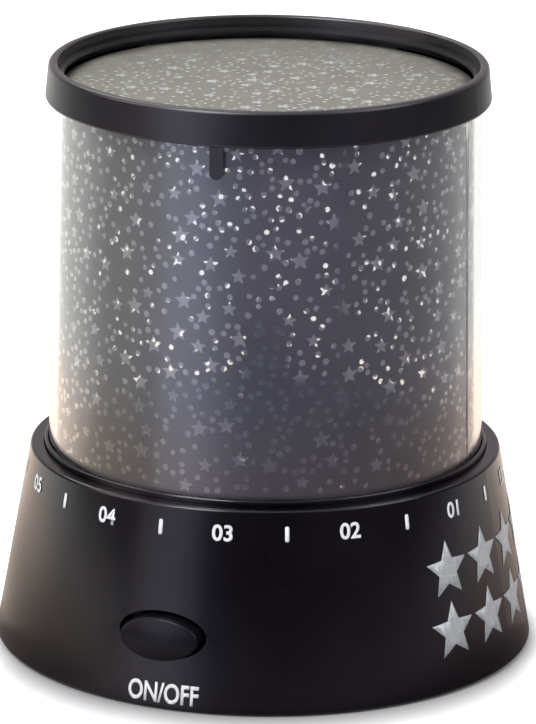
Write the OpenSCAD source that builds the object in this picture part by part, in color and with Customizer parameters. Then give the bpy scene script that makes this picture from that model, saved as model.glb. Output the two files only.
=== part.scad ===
// Table-top planetarium projector: a tapered base holds the battery bay, the switches and a
// lamp tower. A clear shade lined with star film stands over the tower in a ring that turns
// on the base, so that the pointer on the shade can be set against the month dial.
// Millimetres. The origin is the centre of the footprint, on the surface that the feet stand
// on, and +Z is up. The star button faces -Y.

/* [Overall] */
// Height from the feet to the top of the rim
overall_h = 120; // [116:1:130]

/* [Base shell] */
// Diameter of the base at its lower edge
base_d = 110; // [108:1:120]
// Height of the flat land around the turn ring
base_h = 40.5; // [39:0.5:46]
// Thickness of the side wall
base_wall = 2; // [1.6:0.1:2.4]
// Width of the flat land around the turn ring
land_w = 2.7; // [2:0.1:4]
// Depth of the deck below the land
deck_drop = 3.5; // [3:0.1:4.5]
// Thickness of the deck
deck_t = 2; // [1.6:0.1:2.6]
// Radius of the rounded edge around the land
base_edge_r = 0.6; // [0.3:0.1:0.9]
// Radius of the rounded lower edge of the base
lower_edge_r = 0.3; // [0.1:0.1:0.9]
// Thickness of the collar that centres the turn ring
collar_t = 1.8; // [1.2:0.1:2.2]
// Height of the collar above the deck
collar_h = 3; // [2.8:0.1:4]

/* [Base plate] */
// Thickness of the base plate
plate_t = 3; // [2.6:0.1:3.6]
// Depth of the base plate inside the lower edge
plate_inset = 0.6; // [0.3:0.1:1]
// Distance of a plate screw's centre from the lower edge of the base
plate_screw_inset = 10; // [9.5:0.5:12]
// Radius of the bosses that the plate screws bite into
boss_r = 3.2; // [2.8:0.1:3.4]

/* [Feet] */
// Diameter of a rubber foot
foot_d = 10; // [8:0.5:11]
// Height of a foot below the lower edge of the base
foot_show = 0.6; // [0.4:0.1:2]
// Depth of the pocket that a foot is glued into
foot_pocket = 0.8; // [0.5:0.1:1.2]
// Distance of a foot's centre from the lower edge of the base
foot_inset = 11; // [10:0.5:13]

/* [Turn ring] */
// Thickness of the lip around the foot of the shade
lip_t = 0.65; // [0.5:0.05:1]
// Height of the lip above the land
lip_rise = 1.1; // [0.6:0.1:1.6]
// Thickness of the floor that the shade stands on
ring_floor_t = 1.5; // [1.2:0.1:1.6]
// Angle that each drive key of the turn ring spans, in degrees
key_angle = 5; // [4:0.5:8]
// Height of a drive key above the floor of the turn ring
key_h = 1.3; // [0.8:0.1:1.8]

/* [Shade] */
// Outer diameter of the clear cover at its foot
shade_foot_d = 88.8; // [86:0.4:90]
// Outer diameter of the clear cover at its top
shade_top_d = 85.8; // [84:0.4:86]
// Wall of the clear cover
cover_wall = 1.5; // [1.2:0.1:1.8]
// Thickness of the star film
film_t = 0.25; // [0.15:0.05:0.35]
// Angle that the star film leaves open at its seam, in degrees
film_seam = 1; // [0.6:0.1:2]
// Height of the lower edge of the star film above the foot of the clear cover
film_lift = 1.9; // [1.7:0.1:3]

/* [Top ring] */
// Height of the top ring
top_ring_h = 7.2; // [6:0.2:9]
// Height of the rim above the window
rim_rise = 3; // [2.4:0.1:4]
// Overhang of the top ring beyond the clear cover, at its lower edge
skirt_t = 1.95; // [1.4:0.05:2.4]
// Width of the top ring at the rim
rim_w = 1.9; // [1.6:0.1:2.2]
// Reach of the ledge over the edge of the window
ledge_w = 1.7; // [1.2:0.1:2.4]
// Thickness of that ledge
ledge_t = 0.9; // [0.7:0.1:1.2]
// Width of the month pointer
pointer_w = 2.7; // [2:0.1:4]
// Length of the month pointer below the top ring
pointer_h = 6.6; // [4:0.2:10]
// Bearing of the month pointer from the star button, in degrees
pointer_bearing = 9.5; // [0:0.5:30]

/* [Lamp tower] */
// Height of the tower above the deck
tower_h = 29; // [24:0.5:34]
// Radius of the tower at its top
tower_top_r = 3.9; // [3.4:0.1:4.6]
// Radius of the flange that is screwed to the deck
tower_flange_r = 13; // [12:0.5:15]
// Thickness of the flange
tower_flange_t = 1.6; // [1.2:0.1:2.2]
// Diameter of an LED
led_d = 5; // [5:0.1:5]
// Circle of the lamp LEDs, as a radius
lamp_circle_r = 24; // [20:0.5:26]

/* [Lamp board] */
// Radius of the lamp board
board_r = 32; // [31:0.5:34]
// Thickness of all circuit boards
board_t = 1.6; // [1.2:0.1:1.8]
// Gap between the deck and the lamp board
board_gap = 3.4; // [3:0.1:4]
// Circle of the lamp board's screws, as a radius
board_screw_circle_r = 28; // [27:0.5:28.5]

/* [Buttons] */
// Width of a button's opening
opening_w = 18.8; // [17.4:0.2:20]
// Height of a button's opening
opening_h = 9.6; // [9.6:0.2:11]
// Width of a button
button_w = 16.6; // [14:0.2:17]
// Height of a button
button_h = 8.4; // [7:0.2:8.4]
// Distance that a button sits low in its opening
button_sag = 0.3; // [0:0.1:0.3]
// Height of a button above the wall
button_proud = 2.1; // [2.1:0.1:3]
// Height of the buttons' centres above the surface
button_z = 14.8; // [14:0.2:16]
// Travel of a button
button_travel = 2; // [1:0.1:2]
// Radius of the button's rounded edge
button_edge_r = 0.4; // [0.2:0.1:1.2]
// Width of the square switch behind a button
switch_w = 8.4; // [7:0.2:9]
// Length of that switch
switch_l = 8; // [7.4:0.2:9]

/* [Batteries] */
// Diameter of a cell
cell_d = 14.5; // [14.2:0.1:14.5]
// Length of a cell, with its nub
cell_l = 50.5; // [49.5:0.1:50.5]
// Distance between the axes of neighbouring cells
cell_pitch = 15; // [14.8:0.1:15.4]
// Length of a contact spring with the cell in
spring_l = 5; // [4:0.2:6]
// Thickness of the contact plates
contact_t = 0.4; // [0.3:0.05:0.5]
// Wall of the battery bay
bay_wall = 1.6; // [1.2:0.1:2]
// Thickness of the battery door
door_t = 2.4; // [2.2:0.1:2.6]
// Gap around the battery door
door_gap = 0.3; // [0.2:0.05:0.5]
// Radius of the battery door's hinge pins
hinge_pin_r = 0.7; // [0.6:0.05:0.8]

/* [Power socket] */
// Radius of the plug that fits the socket
plug_r = 2.75; // [2.75:0.05:2.85]
// Depth of the socket
socket_depth = 9; // [8:0.5:10]
// Height of the socket's centre above the surface
socket_z = 13; // [12.5:0.5:15]

/* [Hidden] */
$fn = 96;

cut = 0.01;                  // how far a cutter runs past the face that it opens
slide_gap = 0.2;             // between the turn ring and the base
shade_gap = 0.15;            // between the clear cover and the turn ring
snug_gap = 0.05;             // between pieces that are pressed or glued together
shaft_gap = 0.05;            // between a shaft and its bore
screw_gap = 0.3;             // between a screw and the hole that it passes through

// Levels of the base, from the surface up
rim_z = foot_show;
plate_z = rim_z + plate_inset;
plate_top_z = plate_z + plate_t;
deck_z = base_h - deck_drop;
deck_under_z = deck_z - deck_t;

// Turn ring and the channel that it runs in
cover_foot_r = shade_foot_d / 2;
lip_in_r = cover_foot_r + shade_gap;
turn_ring_r = lip_in_r + lip_t;
channel_r = turn_ring_r + slide_gap;
land_r = channel_r + land_w;
base_r = base_d / 2;
plate_screw_circle_r = base_r - plate_screw_inset;
foot_circle_r = base_r - foot_inset;
seat_z = deck_z + ring_floor_t;
lip_z = base_h + lip_rise;
lug_reach = 1.1;             // how far the collar's lugs reach over the turn ring
lug_t = 0.8;
lug_lift = 0.3;              // between the turn ring and the lugs over it
lug_span = 24;
cover_foot_in_r = cover_foot_r - cover_wall;
lug_r = cover_foot_in_r - 0.7;
collar_r = lug_r - lug_reach;
turn_ring_in_r = collar_r + slide_gap;
key_count = 3;

// Shade
window_z = overall_h - rim_rise;
window_under_z = window_z - cover_wall;
skirt_z = overall_h - top_ring_h;
film_z = seat_z + film_lift;
cover_top_r = shade_top_d / 2;
cover_edge_r = 0.6;
nib_t = 0.5;

// Tower and boards
tower_top_z = deck_z + tower_h;
tower_bore_r = 1.9;
tower_screw_circle_r = tower_flange_r - 3;
tower_screw_head_r = 1.9;
tower_screw_head_t = 1.3;
tower_foot_r = tower_screw_circle_r - tower_screw_head_r - 0.1;
led_r = led_d / 2;
led_flange_r = led_r + 0.4;
led_flange_t = 1;
led_body_h = 6.2;
lead_r = 0.3;
lead_pitch = 2.54;
lamp_led_z = deck_under_z - led_flange_t;
board_top_z = deck_under_z - board_gap;
board_z = board_top_z - board_t;
board_boss_r = 3;
screw_r = 1.2;               // shank of the small screws
screw_head_r = 2.4;
screw_head_t = 1.6;
plate_screw_r = 1.3;
plate_screw_head_r = 2.6;
plate_screw_l = 10;
pilot_gap = 0.05;            // around a shank in the boss that it bites into
resistor_r = 1;
resistor_l = 3.6;
resistor_pitch = 6;
resistor_x = 14;
capacitor_r = 2.5;
capacitor_x = 12;
capacitor_y = 9;
third_turns = [30, 150, 270];
quarter_turns = [0, 90, 180, 270];
diagonal_turns = [45, 135, 225, 315];

// Buttons, along the line from the wall to the axis
guide_wall = 1.4;
guide_end = wall_in_r(button_z + opening_h / 2 + guide_wall) - 1.8;
flange_t = 1.2;
flange_reach = 1.2;
stem_r = 2.2;
stem_l = 3;
plunger_r = 1.6;
plunger_l = 6;
plunger_bore_l = 6;
stem_end = guide_end - flange_t - stem_l;
switch_face = stem_end - 2.4;
switch_back = switch_face - switch_l;
button_a = button_w / 2;
button_b = button_h / 2;
button_dome = 0.4;
switch_board_w = 22;
switch_board_h = 17.2;
post_w = 3.8;
post_t = 1.6;
post_h = 11;
slot_depth = 1.4;

// Battery bay
cell_r = cell_d / 2;
cell_count = 3;
nub_r = 2.7;
nub_l = 1;
cell_edge_r = 0.5;
bay_l = cell_l + spring_l + 2 * contact_t;
bay_w = cell_count * cell_pitch + 0.5;
door_l = bay_l - 2 * door_gap;
door_w = bay_w - 2 * door_gap;
door_top_z = plate_z + door_t;
pad_t = 0.7;
pad_l = 30;
pad_inset = 4;
cell_lift = 0.3;             // between the foam pad and the cells
cell_z = door_top_z + pad_t + cell_lift + cell_r;
bay_roof_z = cell_z + cell_r + 0.3;
bay_top_z = bay_roof_z + bay_wall;
capacitor_h = 0.6 * (board_z - bay_top_z);
barrel_r = door_t / 2;
hinge_x = -bay_l / 2 + door_gap + barrel_r;
hinge_z = plate_z + barrel_r;
hinge_pin_l = 1.6;
contact_w = 11;
tail_w = 3;
tail_z = cell_z + contact_w / 2 - 0.9;
tail_l = 2;
spring_wire_r = 0.4;
spring_r = 4.6;
spring_tip_r = 2.7;

// Power socket, along the line from the wall to the axis
socket_body_w = 9;
socket_body_h = 11;
socket_body_l = 13;
socket_nose_r = 3.9;
socket_pin_r = 1;
socket_body_front = wall_in_r(socket_z + socket_body_h / 2) - 0.7;
socket_front = wall_r(socket_z) - 0.25;
socket_back = socket_body_front - socket_body_l;
cradle_rib_t = 1.4;
cradle_rib_h = 3;

// Radius of the base's outer and inner side at height z
function wall_r(z) = base_r + (land_r - base_r) * (z - rim_z) / (base_h - rim_z);
function wall_in_r(z) = wall_r(z) - base_wall;
// Radius of the clear cover's outer and inner side at height z
function cover_r(z) = cover_foot_r + (cover_top_r - cover_foot_r) * (z - seat_z) / (window_z - seat_z);
function cover_in_r(z) = cover_r(z) - cover_wall;

// Points of an arc about c, in degrees
function arc(c, r, from, to, steps = 6) =
    [for (i = [0 : steps]) let (a = from + (to - from) * i / steps) c + r * [cos(a), sin(a)]];
// Points of an ellipse with half-axes a and b
function ellipse(a, b, steps = 48) = [for (i = [0 : steps - 1]) [a * cos(360 * i / steps), b * sin(360 * i / steps)]];
function unit(v) = v / norm(v);
// Points of a smooth curve through the given points
function smooth(p, steps = 4) = concat(
    [for (i = [0 : len(p) - 2]) for (s = [0 : steps - 1])
        let (t = s / steps, a = p[max(i - 1, 0)], b = p[i], c = p[i + 1], d = p[min(i + 2, len(p) - 1)])
        0.5 * (2 * b + (c - a) * t + (2 * a - 5 * b + 4 * c - d) * t * t + (3 * b - a - 3 * c + d) * t * t * t)],
    [p[len(p) - 1]]);

// Closed skin over a stack of rings with the same number of points each
module skin(rings) {
    n = len(rings[0]);
    last = len(rings) - 1;
    middles = [for (k = [0, last]) [for (j = [0 : 2]) [for (p = rings[k]) p[j]] * [for (p = rings[k]) 1] / n]];
    sides = [for (k = [0 : last - 1]) for (i = [0 : n - 1])
        let (a = k * n + i, b = k * n + (i + 1) % n)
        each [[a, a + n, b + n], [a, b + n, b]]];
    caps = [for (i = [0 : n - 1]) each [
        [i, (i + 1) % n, (last + 1) * n],
        [last * n + (i + 1) % n, last * n + i, (last + 1) * n + 1]]];
    polyhedron(concat([for (r = rings) each r], middles), concat(sides, caps), convexity = 6);
}

// Round wire of radius r along the points of a path, none of which runs along side
module wire(path, r, side, sides = 6) {
    last = len(path) - 1;
    rings = [for (i = [0 : last])
        let (
            t = unit(path[min(i + 1, last)] - path[max(i - 1, 0)]),
            u = unit(cross(t, side)),
            v = cross(t, u)
        )
        [for (k = [0 : sides - 1]) path[i] + r * (cos(360 * k / sides) * u + sin(360 * k / sides) * v)]];
    skin(rings);
}

// Stands its children at radius r and height z, once for each angle
module on_circle(r, angles, z = 0) {
    for (a = angles) rotate([0, 0, a]) translate([r, 0, z]) children();
}

// Elliptical bar towards -Y, from radius near to radius far, centred on the buttons
module button_bar(a, b, near, far) {
    translate([0, -near, button_z]) rotate([90, 0, 0]) linear_extrude(far - near) polygon(ellipse(a, b));
}

// Round bar towards -Y, from radius near to radius far, centred on the buttons
module button_rod(r, near, far) {
    translate([0, -near, button_z]) rotate([90, 0, 0]) cylinder(r = r, h = far - near);
}

// Turns what is drawn for the star button to the lamp button, on the far side
module at_lamp_button() {
    rotate([0, 0, 180]) children();
}

// Pan-head screw that points up, with the underside of its head at z = 0
module pan_screw(r, head_r, head_t, l) {
    difference() {
        union() {
            rotate_extrude() polygon(concat(
                [[0, 0], [head_r, 0]],
                arc([head_r - 0.5, 0.5 - head_t], 0.5, 0, -90),
                [[0, -head_t]]));
            cylinder(r = r, h = l);
        }
        for (a = [0, 90]) rotate([0, 0, a]) translate([-head_r * 0.6, -0.35, -head_t - cut])
            cube([head_r * 1.2, 0.7, head_t * 0.55]);
    }
}

// Solid inside of the base, which inner pieces of the shell are trimmed to
module base_core() {
    rotate_extrude() polygon([
        [0, rim_z], [wall_r(rim_z) - base_wall / 2, rim_z],
        [wall_r(base_h) - base_wall / 2, base_h - base_wall / 2], [0, base_h - base_wall / 2]]);
}

module shell_body() {
    rotate_extrude() polygon(concat(
        arc([base_r - lower_edge_r, rim_z + lower_edge_r], lower_edge_r, -90, 0),
        arc([wall_r(base_h) - base_edge_r, base_h - base_edge_r], base_edge_r, 10, 90),
        [[channel_r, base_h], [channel_r, deck_z], [collar_r, deck_z]],
        [[collar_r, deck_z + collar_h], [collar_r - collar_t, deck_z + collar_h]],
        [[collar_r - collar_t, deck_z], [0, deck_z], [0, deck_under_z]],
        [[wall_in_r(deck_under_z), deck_under_z], [wall_in_r(rim_z), rim_z]]));
}

// Lugs that hold the turn ring down
module collar_lugs() {
    for (a = third_turns) rotate([0, 0, a - lug_span / 2]) rotate_extrude(angle = lug_span)
        translate([collar_r - collar_t / 2, seat_z + lug_lift]) square([lug_reach + collar_t / 2, lug_t]);
}

module base_shell() {
    color("#1c1b20")
    difference() {
        union() {
            shell_body();
            collar_lugs();
            intersection() {
                base_core();
                union() {
                    on_circle(plate_screw_circle_r, diagonal_turns, plate_top_z)
                        cylinder(r = boss_r, h = deck_under_z - plate_top_z + cut);
                    button_bar(opening_w / 2 + guide_wall, opening_h / 2 + guide_wall, guide_end, base_r);
                    at_lamp_button()
                        button_bar(opening_w / 2 + guide_wall, opening_h / 2 + guide_wall, guide_end, base_r);
                }
            }
            on_circle(board_screw_circle_r, third_turns, board_top_z)
                cylinder(r = board_boss_r, h = board_gap + cut);
        }
        on_circle(plate_screw_circle_r, diagonal_turns, plate_top_z - cut)
            cylinder(r = plate_screw_r + pilot_gap, h = plate_screw_l);
        on_circle(board_screw_circle_r, third_turns, board_top_z - cut)
            cylinder(r = screw_r + pilot_gap, h = board_gap - 0.2);
        on_circle(tower_screw_circle_r, quarter_turns, deck_under_z - cut)
            cylinder(r = screw_r + pilot_gap, h = deck_t + 2 * cut);
        on_circle(lamp_circle_r, [for (a = third_turns) a + 60], deck_under_z - cut)
            cylinder(r = led_r + 0.1, h = deck_t + 2 * cut);
        translate([0, 0, deck_under_z - cut]) cylinder(r = tower_bore_r, h = deck_t + 2 * cut);
        button_bar(opening_w / 2, opening_h / 2, guide_end - cut, base_r + 1);
        at_lamp_button() button_bar(opening_w / 2, opening_h / 2, guide_end - cut, base_r + 1);
        translate([-base_r - 1, 0, socket_z]) rotate([0, 90, 0])
            cylinder(r = socket_nose_r + 0.1, h = base_r + 1 - socket_body_front);
    }
}

// Two grooved posts that hold a switch board by its edges
module switch_posts() {
    for (side = [-1, 1]) translate([side * (switch_board_w / 2 - slot_depth + post_w / 2), 0, plate_top_z - cut])
        difference() {
            translate([-post_w / 2, -switch_back - post_t, 0])
                cube([post_w, board_t + 2 * post_t, post_h + cut]);
            translate([-side * (post_w - slot_depth) / 2 - (slot_depth + snug_gap) / 2, -switch_back - snug_gap, 0])
                cube([slot_depth + snug_gap, board_t + 2 * snug_gap, post_h + 1]);
        }
}

// Cradle that the power socket stands in
module socket_cradle() {
    bed_w = socket_body_w + 2 * (snug_gap + cradle_rib_t);
    bed_h = socket_z - socket_body_h / 2 - plate_top_z;
    translate([-socket_body_front, -bed_w / 2, plate_top_z - cut]) difference() {
        cube([socket_body_l - 2, bed_w, bed_h + cradle_rib_h + cut]);
        translate([-cut, cradle_rib_t, bed_h + cut])
            cube([socket_body_l, socket_body_w + 2 * snug_gap, cradle_rib_h + 1]);
    }
}

module base_plate() {
    color("#1a1a1d")
    difference() {
        union() {
            translate([0, 0, plate_z]) cylinder(r = wall_in_r(plate_top_z) - slide_gap, h = plate_t);
            translate([-bay_l / 2 - bay_wall, -bay_w / 2 - bay_wall, plate_z])
                cube([bay_l + 2 * bay_wall, bay_w + 2 * bay_wall, bay_top_z - plate_z]);
            switch_posts();
            at_lamp_button() switch_posts();
            socket_cradle();
        }
        translate([-bay_l / 2, -bay_w / 2, plate_z - cut]) cube([bay_l, bay_w, bay_roof_z - plate_z + cut]);
        on_circle(foot_circle_r, quarter_turns, plate_z - cut) cylinder(d = foot_d + 0.2, h = foot_pocket + cut);
        on_circle(plate_screw_circle_r, diagonal_turns, plate_z - cut) {
            cylinder(r = plate_screw_r + screw_gap, h = plate_t + 2 * cut);
            cylinder(r = plate_screw_head_r + screw_gap, h = screw_head_t + 0.1 + cut);
        }
        for (side = [-1, 1]) translate([hinge_x, side * (bay_w / 2 + hinge_pin_l / 2), hinge_z])
            rotate([90, 0, 0]) cylinder(r = hinge_pin_r + 0.08, h = hinge_pin_l + 2 * cut, center = true);
        // Slots for the tails of the two end contacts
        for (side = [-1, 1]) translate([
            side * (bay_l / 2 + bay_wall / 2), side * cell_pitch, tail_z])
            cube([bay_wall + 2 * cut, tail_w + 0.2, contact_t + 0.2], center = true);
        // Finger notch at the free end of the battery door
        translate([bay_l / 2, 0, plate_z - cut]) cylinder(r = 5.5, h = 1.1);
    }
}

module plate_screws() {
    color("#8f9296")
    on_circle(plate_screw_circle_r, diagonal_turns, plate_z + screw_head_t + 0.1)
        pan_screw(plate_screw_r, plate_screw_head_r, screw_head_t - 0.1, plate_screw_l - 0.8);
}

module rubber_feet() {
    foot_r = foot_d / 2;
    color("#242424")
    on_circle(foot_circle_r, quarter_turns) rotate_extrude() polygon(concat(
        [[0, 0]], arc([foot_r - 0.6, 0.6], 0.6, -90, 0),
        [[foot_r, plate_z + foot_pocket], [0, plate_z + foot_pocket]]));
}

// Flared tower with a bore for the LED's leads
module lamp_tower() {
    flare_r = 9.5;
    neck_z = deck_z + tower_flange_t + flare_r;
    neck_r = tower_top_r + 0.09 * (tower_top_z - neck_z);
    color("#1f1e22")
    difference() {
        rotate_extrude() polygon(concat(
            [[tower_bore_r, deck_z], [tower_flange_r, deck_z]],
            [[tower_flange_r, deck_z + tower_flange_t], [tower_foot_r, deck_z + tower_flange_t]],
            [for (i = [1 : 8]) let (t = i / 8)
                [neck_r + (tower_foot_r - neck_r) * (1 - t) * (1 - t), deck_z + tower_flange_t + flare_r * t]],
            arc([tower_top_r - 0.4, tower_top_z - 0.4], 0.4, 0, 90, 4),
            [[tower_bore_r, tower_top_z]]));
        on_circle(tower_screw_circle_r, quarter_turns, deck_z - cut)
            cylinder(r = screw_r + screw_gap, h = tower_flange_t + 1);
    }
}

module tower_screws() {
    color("#8f9296")
    on_circle(tower_screw_circle_r, quarter_turns, deck_z + tower_flange_t) mirror([0, 0, 1])
        pan_screw(screw_r, tower_screw_head_r, tower_screw_head_t, tower_flange_t + deck_t);
}

// Round LED that stands on the underside of its flange
module led() {
    rotate_extrude() polygon(concat(
        [[0, 0], [led_flange_r, 0], [led_flange_r, led_flange_t], [led_r, led_flange_t]],
        arc([0, led_body_h], led_r, 0, 90, 12)));
}

module lead_pair(h) {
    for (side = [-1, 1]) translate([side * lead_pitch / 2, 0, 0]) cylinder(r = lead_r, h = h, $fn = 24);
}

module star_led() {
    color("#f4f6ff") translate([0, 0, tower_top_z]) led();
}

module star_led_leads() {
    color("#c9cbd0") translate([0, 0, board_top_z]) lead_pair(tower_top_z - board_top_z);
}

module lamp_leds() {
    color("#ffe9c8") on_circle(lamp_circle_r, [for (a = third_turns) a + 60], lamp_led_z) led();
}

module lamp_led_leads() {
    color("#c9cbd0") on_circle(lamp_circle_r, [for (a = third_turns) a + 60], board_top_z)
        lead_pair(lamp_led_z - board_top_z);
}

module lamp_board() {
    color("#1f5a38")
    difference() {
        translate([0, 0, board_z]) cylinder(r = board_r, h = board_t);
        on_circle(board_screw_circle_r, third_turns, board_z - cut)
            cylinder(r = screw_r + screw_gap, h = board_t + 2 * cut);
    }
}

module board_screws() {
    color("#8f9296")
    on_circle(board_screw_circle_r, third_turns, board_z)
        pan_screw(screw_r, screw_head_r, screw_head_t, board_t + board_gap - 0.6);
}

// Parts on the underside of the lamp board
module board_resistors() {
    lift = resistor_r + 0.2;
    color("#c8a878")
    for (i = [-1 : 1]) translate([resistor_x, resistor_pitch * i, board_z - lift]) {
        rotate([90, 0, 0]) cylinder(r = resistor_r, h = resistor_l, center = true, $fn = 32);
        for (side = [-1, 1]) translate([0, side * (resistor_l / 2 + 0.4), 0]) {
            rotate([90, 0, 0]) cylinder(r = lead_r, h = 0.9, center = true, $fn = 24);
            cylinder(r = lead_r, h = lift, $fn = 24);
        }
    }
}

module board_capacitor() {
    color("#26324f")
    translate([-capacitor_x, capacitor_y, board_z - capacitor_h]) cylinder(r = capacitor_r, h = capacitor_h);
}

module control_chip() {
    color("#17171a")
    translate([-10, -6, board_z - 0.2]) {
        translate([-3, -2, -1.4]) cube([6, 4, 1.4]);
        for (side = [-1, 1], i = [-1.5 : 1.5]) translate([1.27 * i - 0.2, side * 2.5 - 0.5, -0.6])
            cube([0.4, 1, 0.8]);
    }
}

// Push switch with a bore for its plunger, drawn behind the star button
module push_switch() {
    difference() {
        union() {
            translate([-switch_w / 2, -switch_face, button_z - switch_w / 2]) cube([switch_w, switch_l, switch_w]);
            button_rod(plunger_r + 1, switch_face - cut, switch_face + 0.3);
        }
        button_rod(plunger_r + shaft_gap, switch_face - plunger_bore_l, switch_face + 1);
    }
}

module switch_board() {
    translate([-switch_board_w / 2, -switch_back, plate_top_z])
        cube([switch_board_w, board_t, switch_board_h]);
}

module plunger() {
    button_rod(plunger_r, stem_end - plunger_l, stem_end);
}

module star_switch() {
    color("#2c2c30") push_switch();
}

module star_switch_board() {
    color("#1f5a38") switch_board();
}

module star_plunger() {
    color("#d8d8d4") plunger();
}

module lamp_switch() {
    color("#2c2c30") at_lamp_button() push_switch();
}

module lamp_switch_board() {
    color("#1f5a38") at_lamp_button() switch_board();
}

module lamp_plunger() {
    color("#d8d8d4") at_lamp_button() plunger();
}

// Ring of points around a button at the given inset, standing proud of the base's wall
function button_ring(inset, proud) = [for (p = ellipse(button_a - inset, button_b - inset))
    let (z = button_z - button_sag + p[1], r = wall_r(z) + proud) [p[0], -sqrt(r * r - p[0] * p[0]), z]];
function button_flat_ring(y) = [for (p = ellipse(button_a, button_b)) [p[0], y, button_z - button_sag + p[1]]];

// Button whose face follows the wall, with a flange that stops it inside and a stem
module button() {
    skin(concat(
        [button_flat_ring(-guide_end + flange_t / 2)],
        [for (a = [0 : 22.5 : 90])
            button_ring(button_edge_r * (1 - cos(a)), button_proud - button_edge_r * (1 - sin(a)))],
        [for (t = [0.3, 0.6, 0.85])
            button_ring(button_edge_r + t * (button_b - button_edge_r), button_proud + button_dome * t * (2 - t))]));
    button_bar(opening_w / 2 + flange_reach, opening_h / 2 + flange_reach, guide_end - flange_t, guide_end);
    button_rod(stem_r, stem_end, guide_end - flange_t / 2);
}

module star_button() {
    color("#202027") button();
}

module lamp_button() {
    color("#202027") at_lamp_button() button();
}

// Barrel socket that opens through the wall towards -X
module dc_jack() {
    color("#1d1d1f")
    difference() {
        union() {
            translate([-socket_body_front, -socket_body_w / 2, socket_z - socket_body_h / 2])
                cube([socket_body_l, socket_body_w, socket_body_h]);
            translate([-socket_front, 0, socket_z]) rotate([0, 90, 0])
                cylinder(r = socket_nose_r, h = socket_front - socket_body_front + 1);
        }
        translate([-socket_front - cut, 0, socket_z]) rotate([0, 90, 0])
            cylinder(r = plug_r + snug_gap, h = socket_depth + cut);
    }
}

module dc_jack_pin() {
    color("#b9bcc2")
    translate([-socket_front + 1, 0, socket_z]) rotate([0, 90, 0]) cylinder(r = socket_pin_r, h = socket_depth - 1);
}

// One cell along X, with its nub towards the given side
module battery_cell(index, side) {
    nub_x = side * (bay_l / 2 - contact_t);
    translate([nub_x, (index - 2) * cell_pitch, cell_z]) rotate([0, -side * 90, 0])
        rotate_extrude() polygon(concat(
            [[0, 0], [nub_r, 0], [nub_r, nub_l]],
            arc([cell_r - cell_edge_r, nub_l + cell_edge_r], cell_edge_r, -90, 0),
            arc([cell_r - cell_edge_r, cell_l - cell_edge_r], cell_edge_r, 0, 90),
            [[0, cell_l]]));
}

module battery_cell_1() {
    color("#3a6b4a") battery_cell(1, 1);
}

module battery_cell_2() {
    color("#3a6b4a") battery_cell(2, -1);
}

module battery_cell_3() {
    color("#3a6b4a") battery_cell(3, 1);
}

// Conical coil from a contact plate to the flat end of a cell, which lies towards side
module contact_spring(index, side) {
    turns = 3.5;
    steps = 56;
    run = spring_l - 2 * spring_wire_r;
    path = [for (i = [0 : steps])
        let (t = i / steps, r = spring_r + (spring_tip_r - spring_r) * t, a = 360 * turns * t)
        [side * (spring_wire_r + run * t - bay_l / 2 + contact_t), r * cos(a), r * sin(a)]];
    translate([0, (index - 2) * cell_pitch, cell_z]) wire(path, spring_wire_r, [1, 0, 0]);
}

module battery_springs() {
    color("#c4c7cc") {
        contact_spring(1, 1);
        contact_spring(2, -1);
        contact_spring(3, 1);
    }
}

// Contact plate on the end wall of the given side, behind the cells between two indexes
module contact_plate(side, first, last) {
    translate([
        side * (bay_l / 2 - contact_t / 2), (first + last - 4) / 2 * cell_pitch, cell_z])
        cube([contact_t, contact_w + (last - first) * cell_pitch, contact_w], center = true);
}

// Tail of an end contact, which reaches out through the wall of the bay
module contact_tail(side) {
    reach = bay_wall + tail_l + contact_t;
    translate([side * (bay_l / 2 - contact_t + reach / 2), side * cell_pitch, tail_z])
        cube([reach, tail_w, contact_t], center = true);
}

module battery_contacts() {
    color("#c4c7cc") {
        contact_plate(-1, 1, 1);
        contact_tail(-1);
        contact_plate(-1, 2, 3);
        contact_plate(1, 1, 2);
        contact_plate(1, 3, 3);
        contact_tail(1);
    }
}

// Insulated leads. Each one rises straight from its solder point, bends over and ends straight
// up at the underside of the lamp board
lead_wire_r = 0.6;
lead_end_z = board_z - snug_gap;
lead_stub_h = 1;
lead_turn_h = 2;
lead_turn_share = 0.08;      // of the way across, covered in each of a lead's two bends
function lead_path(from, to) = smooth(concat(
    [for (s = [0 : 2]) from + [0, 0, s * lead_stub_h]],
    [from + [0, 0, 2 * lead_stub_h + lead_turn_h] + lead_turn_share * [to[0] - from[0], to[1] - from[1], 0]],
    [to - [0, 0, 2 * lead_stub_h + lead_turn_h] - lead_turn_share * [to[0] - from[0], to[1] - from[1], 0]],
    [for (s = [2 : -1 : 0]) to - [0, 0, s * lead_stub_h]]));

tail_end_x = bay_l / 2 + bay_wall + tail_l;
power_end_x = board_r - lead_wire_r - 1;
power_end_y = 6;
power_path = lead_path(
    [tail_end_x + lead_wire_r + snug_gap, cell_pitch, tail_z - tail_w / 2], [power_end_x, power_end_y, lead_end_z]);
switch_lead_x = 2.6;         // of the leads on the switch board, and on the lamp board
switch_lead_end_x = 4.4;
switch_lead_path = lead_path(
    [switch_lead_x, -switch_back + board_t + lead_wire_r + snug_gap, plate_top_z + switch_board_h - 3.9],
    [switch_lead_end_x, 6 - board_r, lead_end_z]);
jack_lead_y = 2;             // of the leads on the socket, and on the lamp board
jack_lead_end_y = 2.4;
jack_path = lead_path(
    [-socket_back - lead_wire_r - 1, jack_lead_y, socket_z + socket_body_h / 2 + snug_gap],
    [-bay_l / 2 + 3.4, jack_lead_end_y, lead_end_z]);

module power_lead(side) {
    wire([for (p = power_path) [side * p[0], side * p[1], p[2]]], lead_wire_r, [0, 1, 0]);
}

module power_lead_red() {
    color("#b3261e") power_lead(1);
}

module power_lead_black() {
    color("#1b1b1b") power_lead(-1);
}

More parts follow.
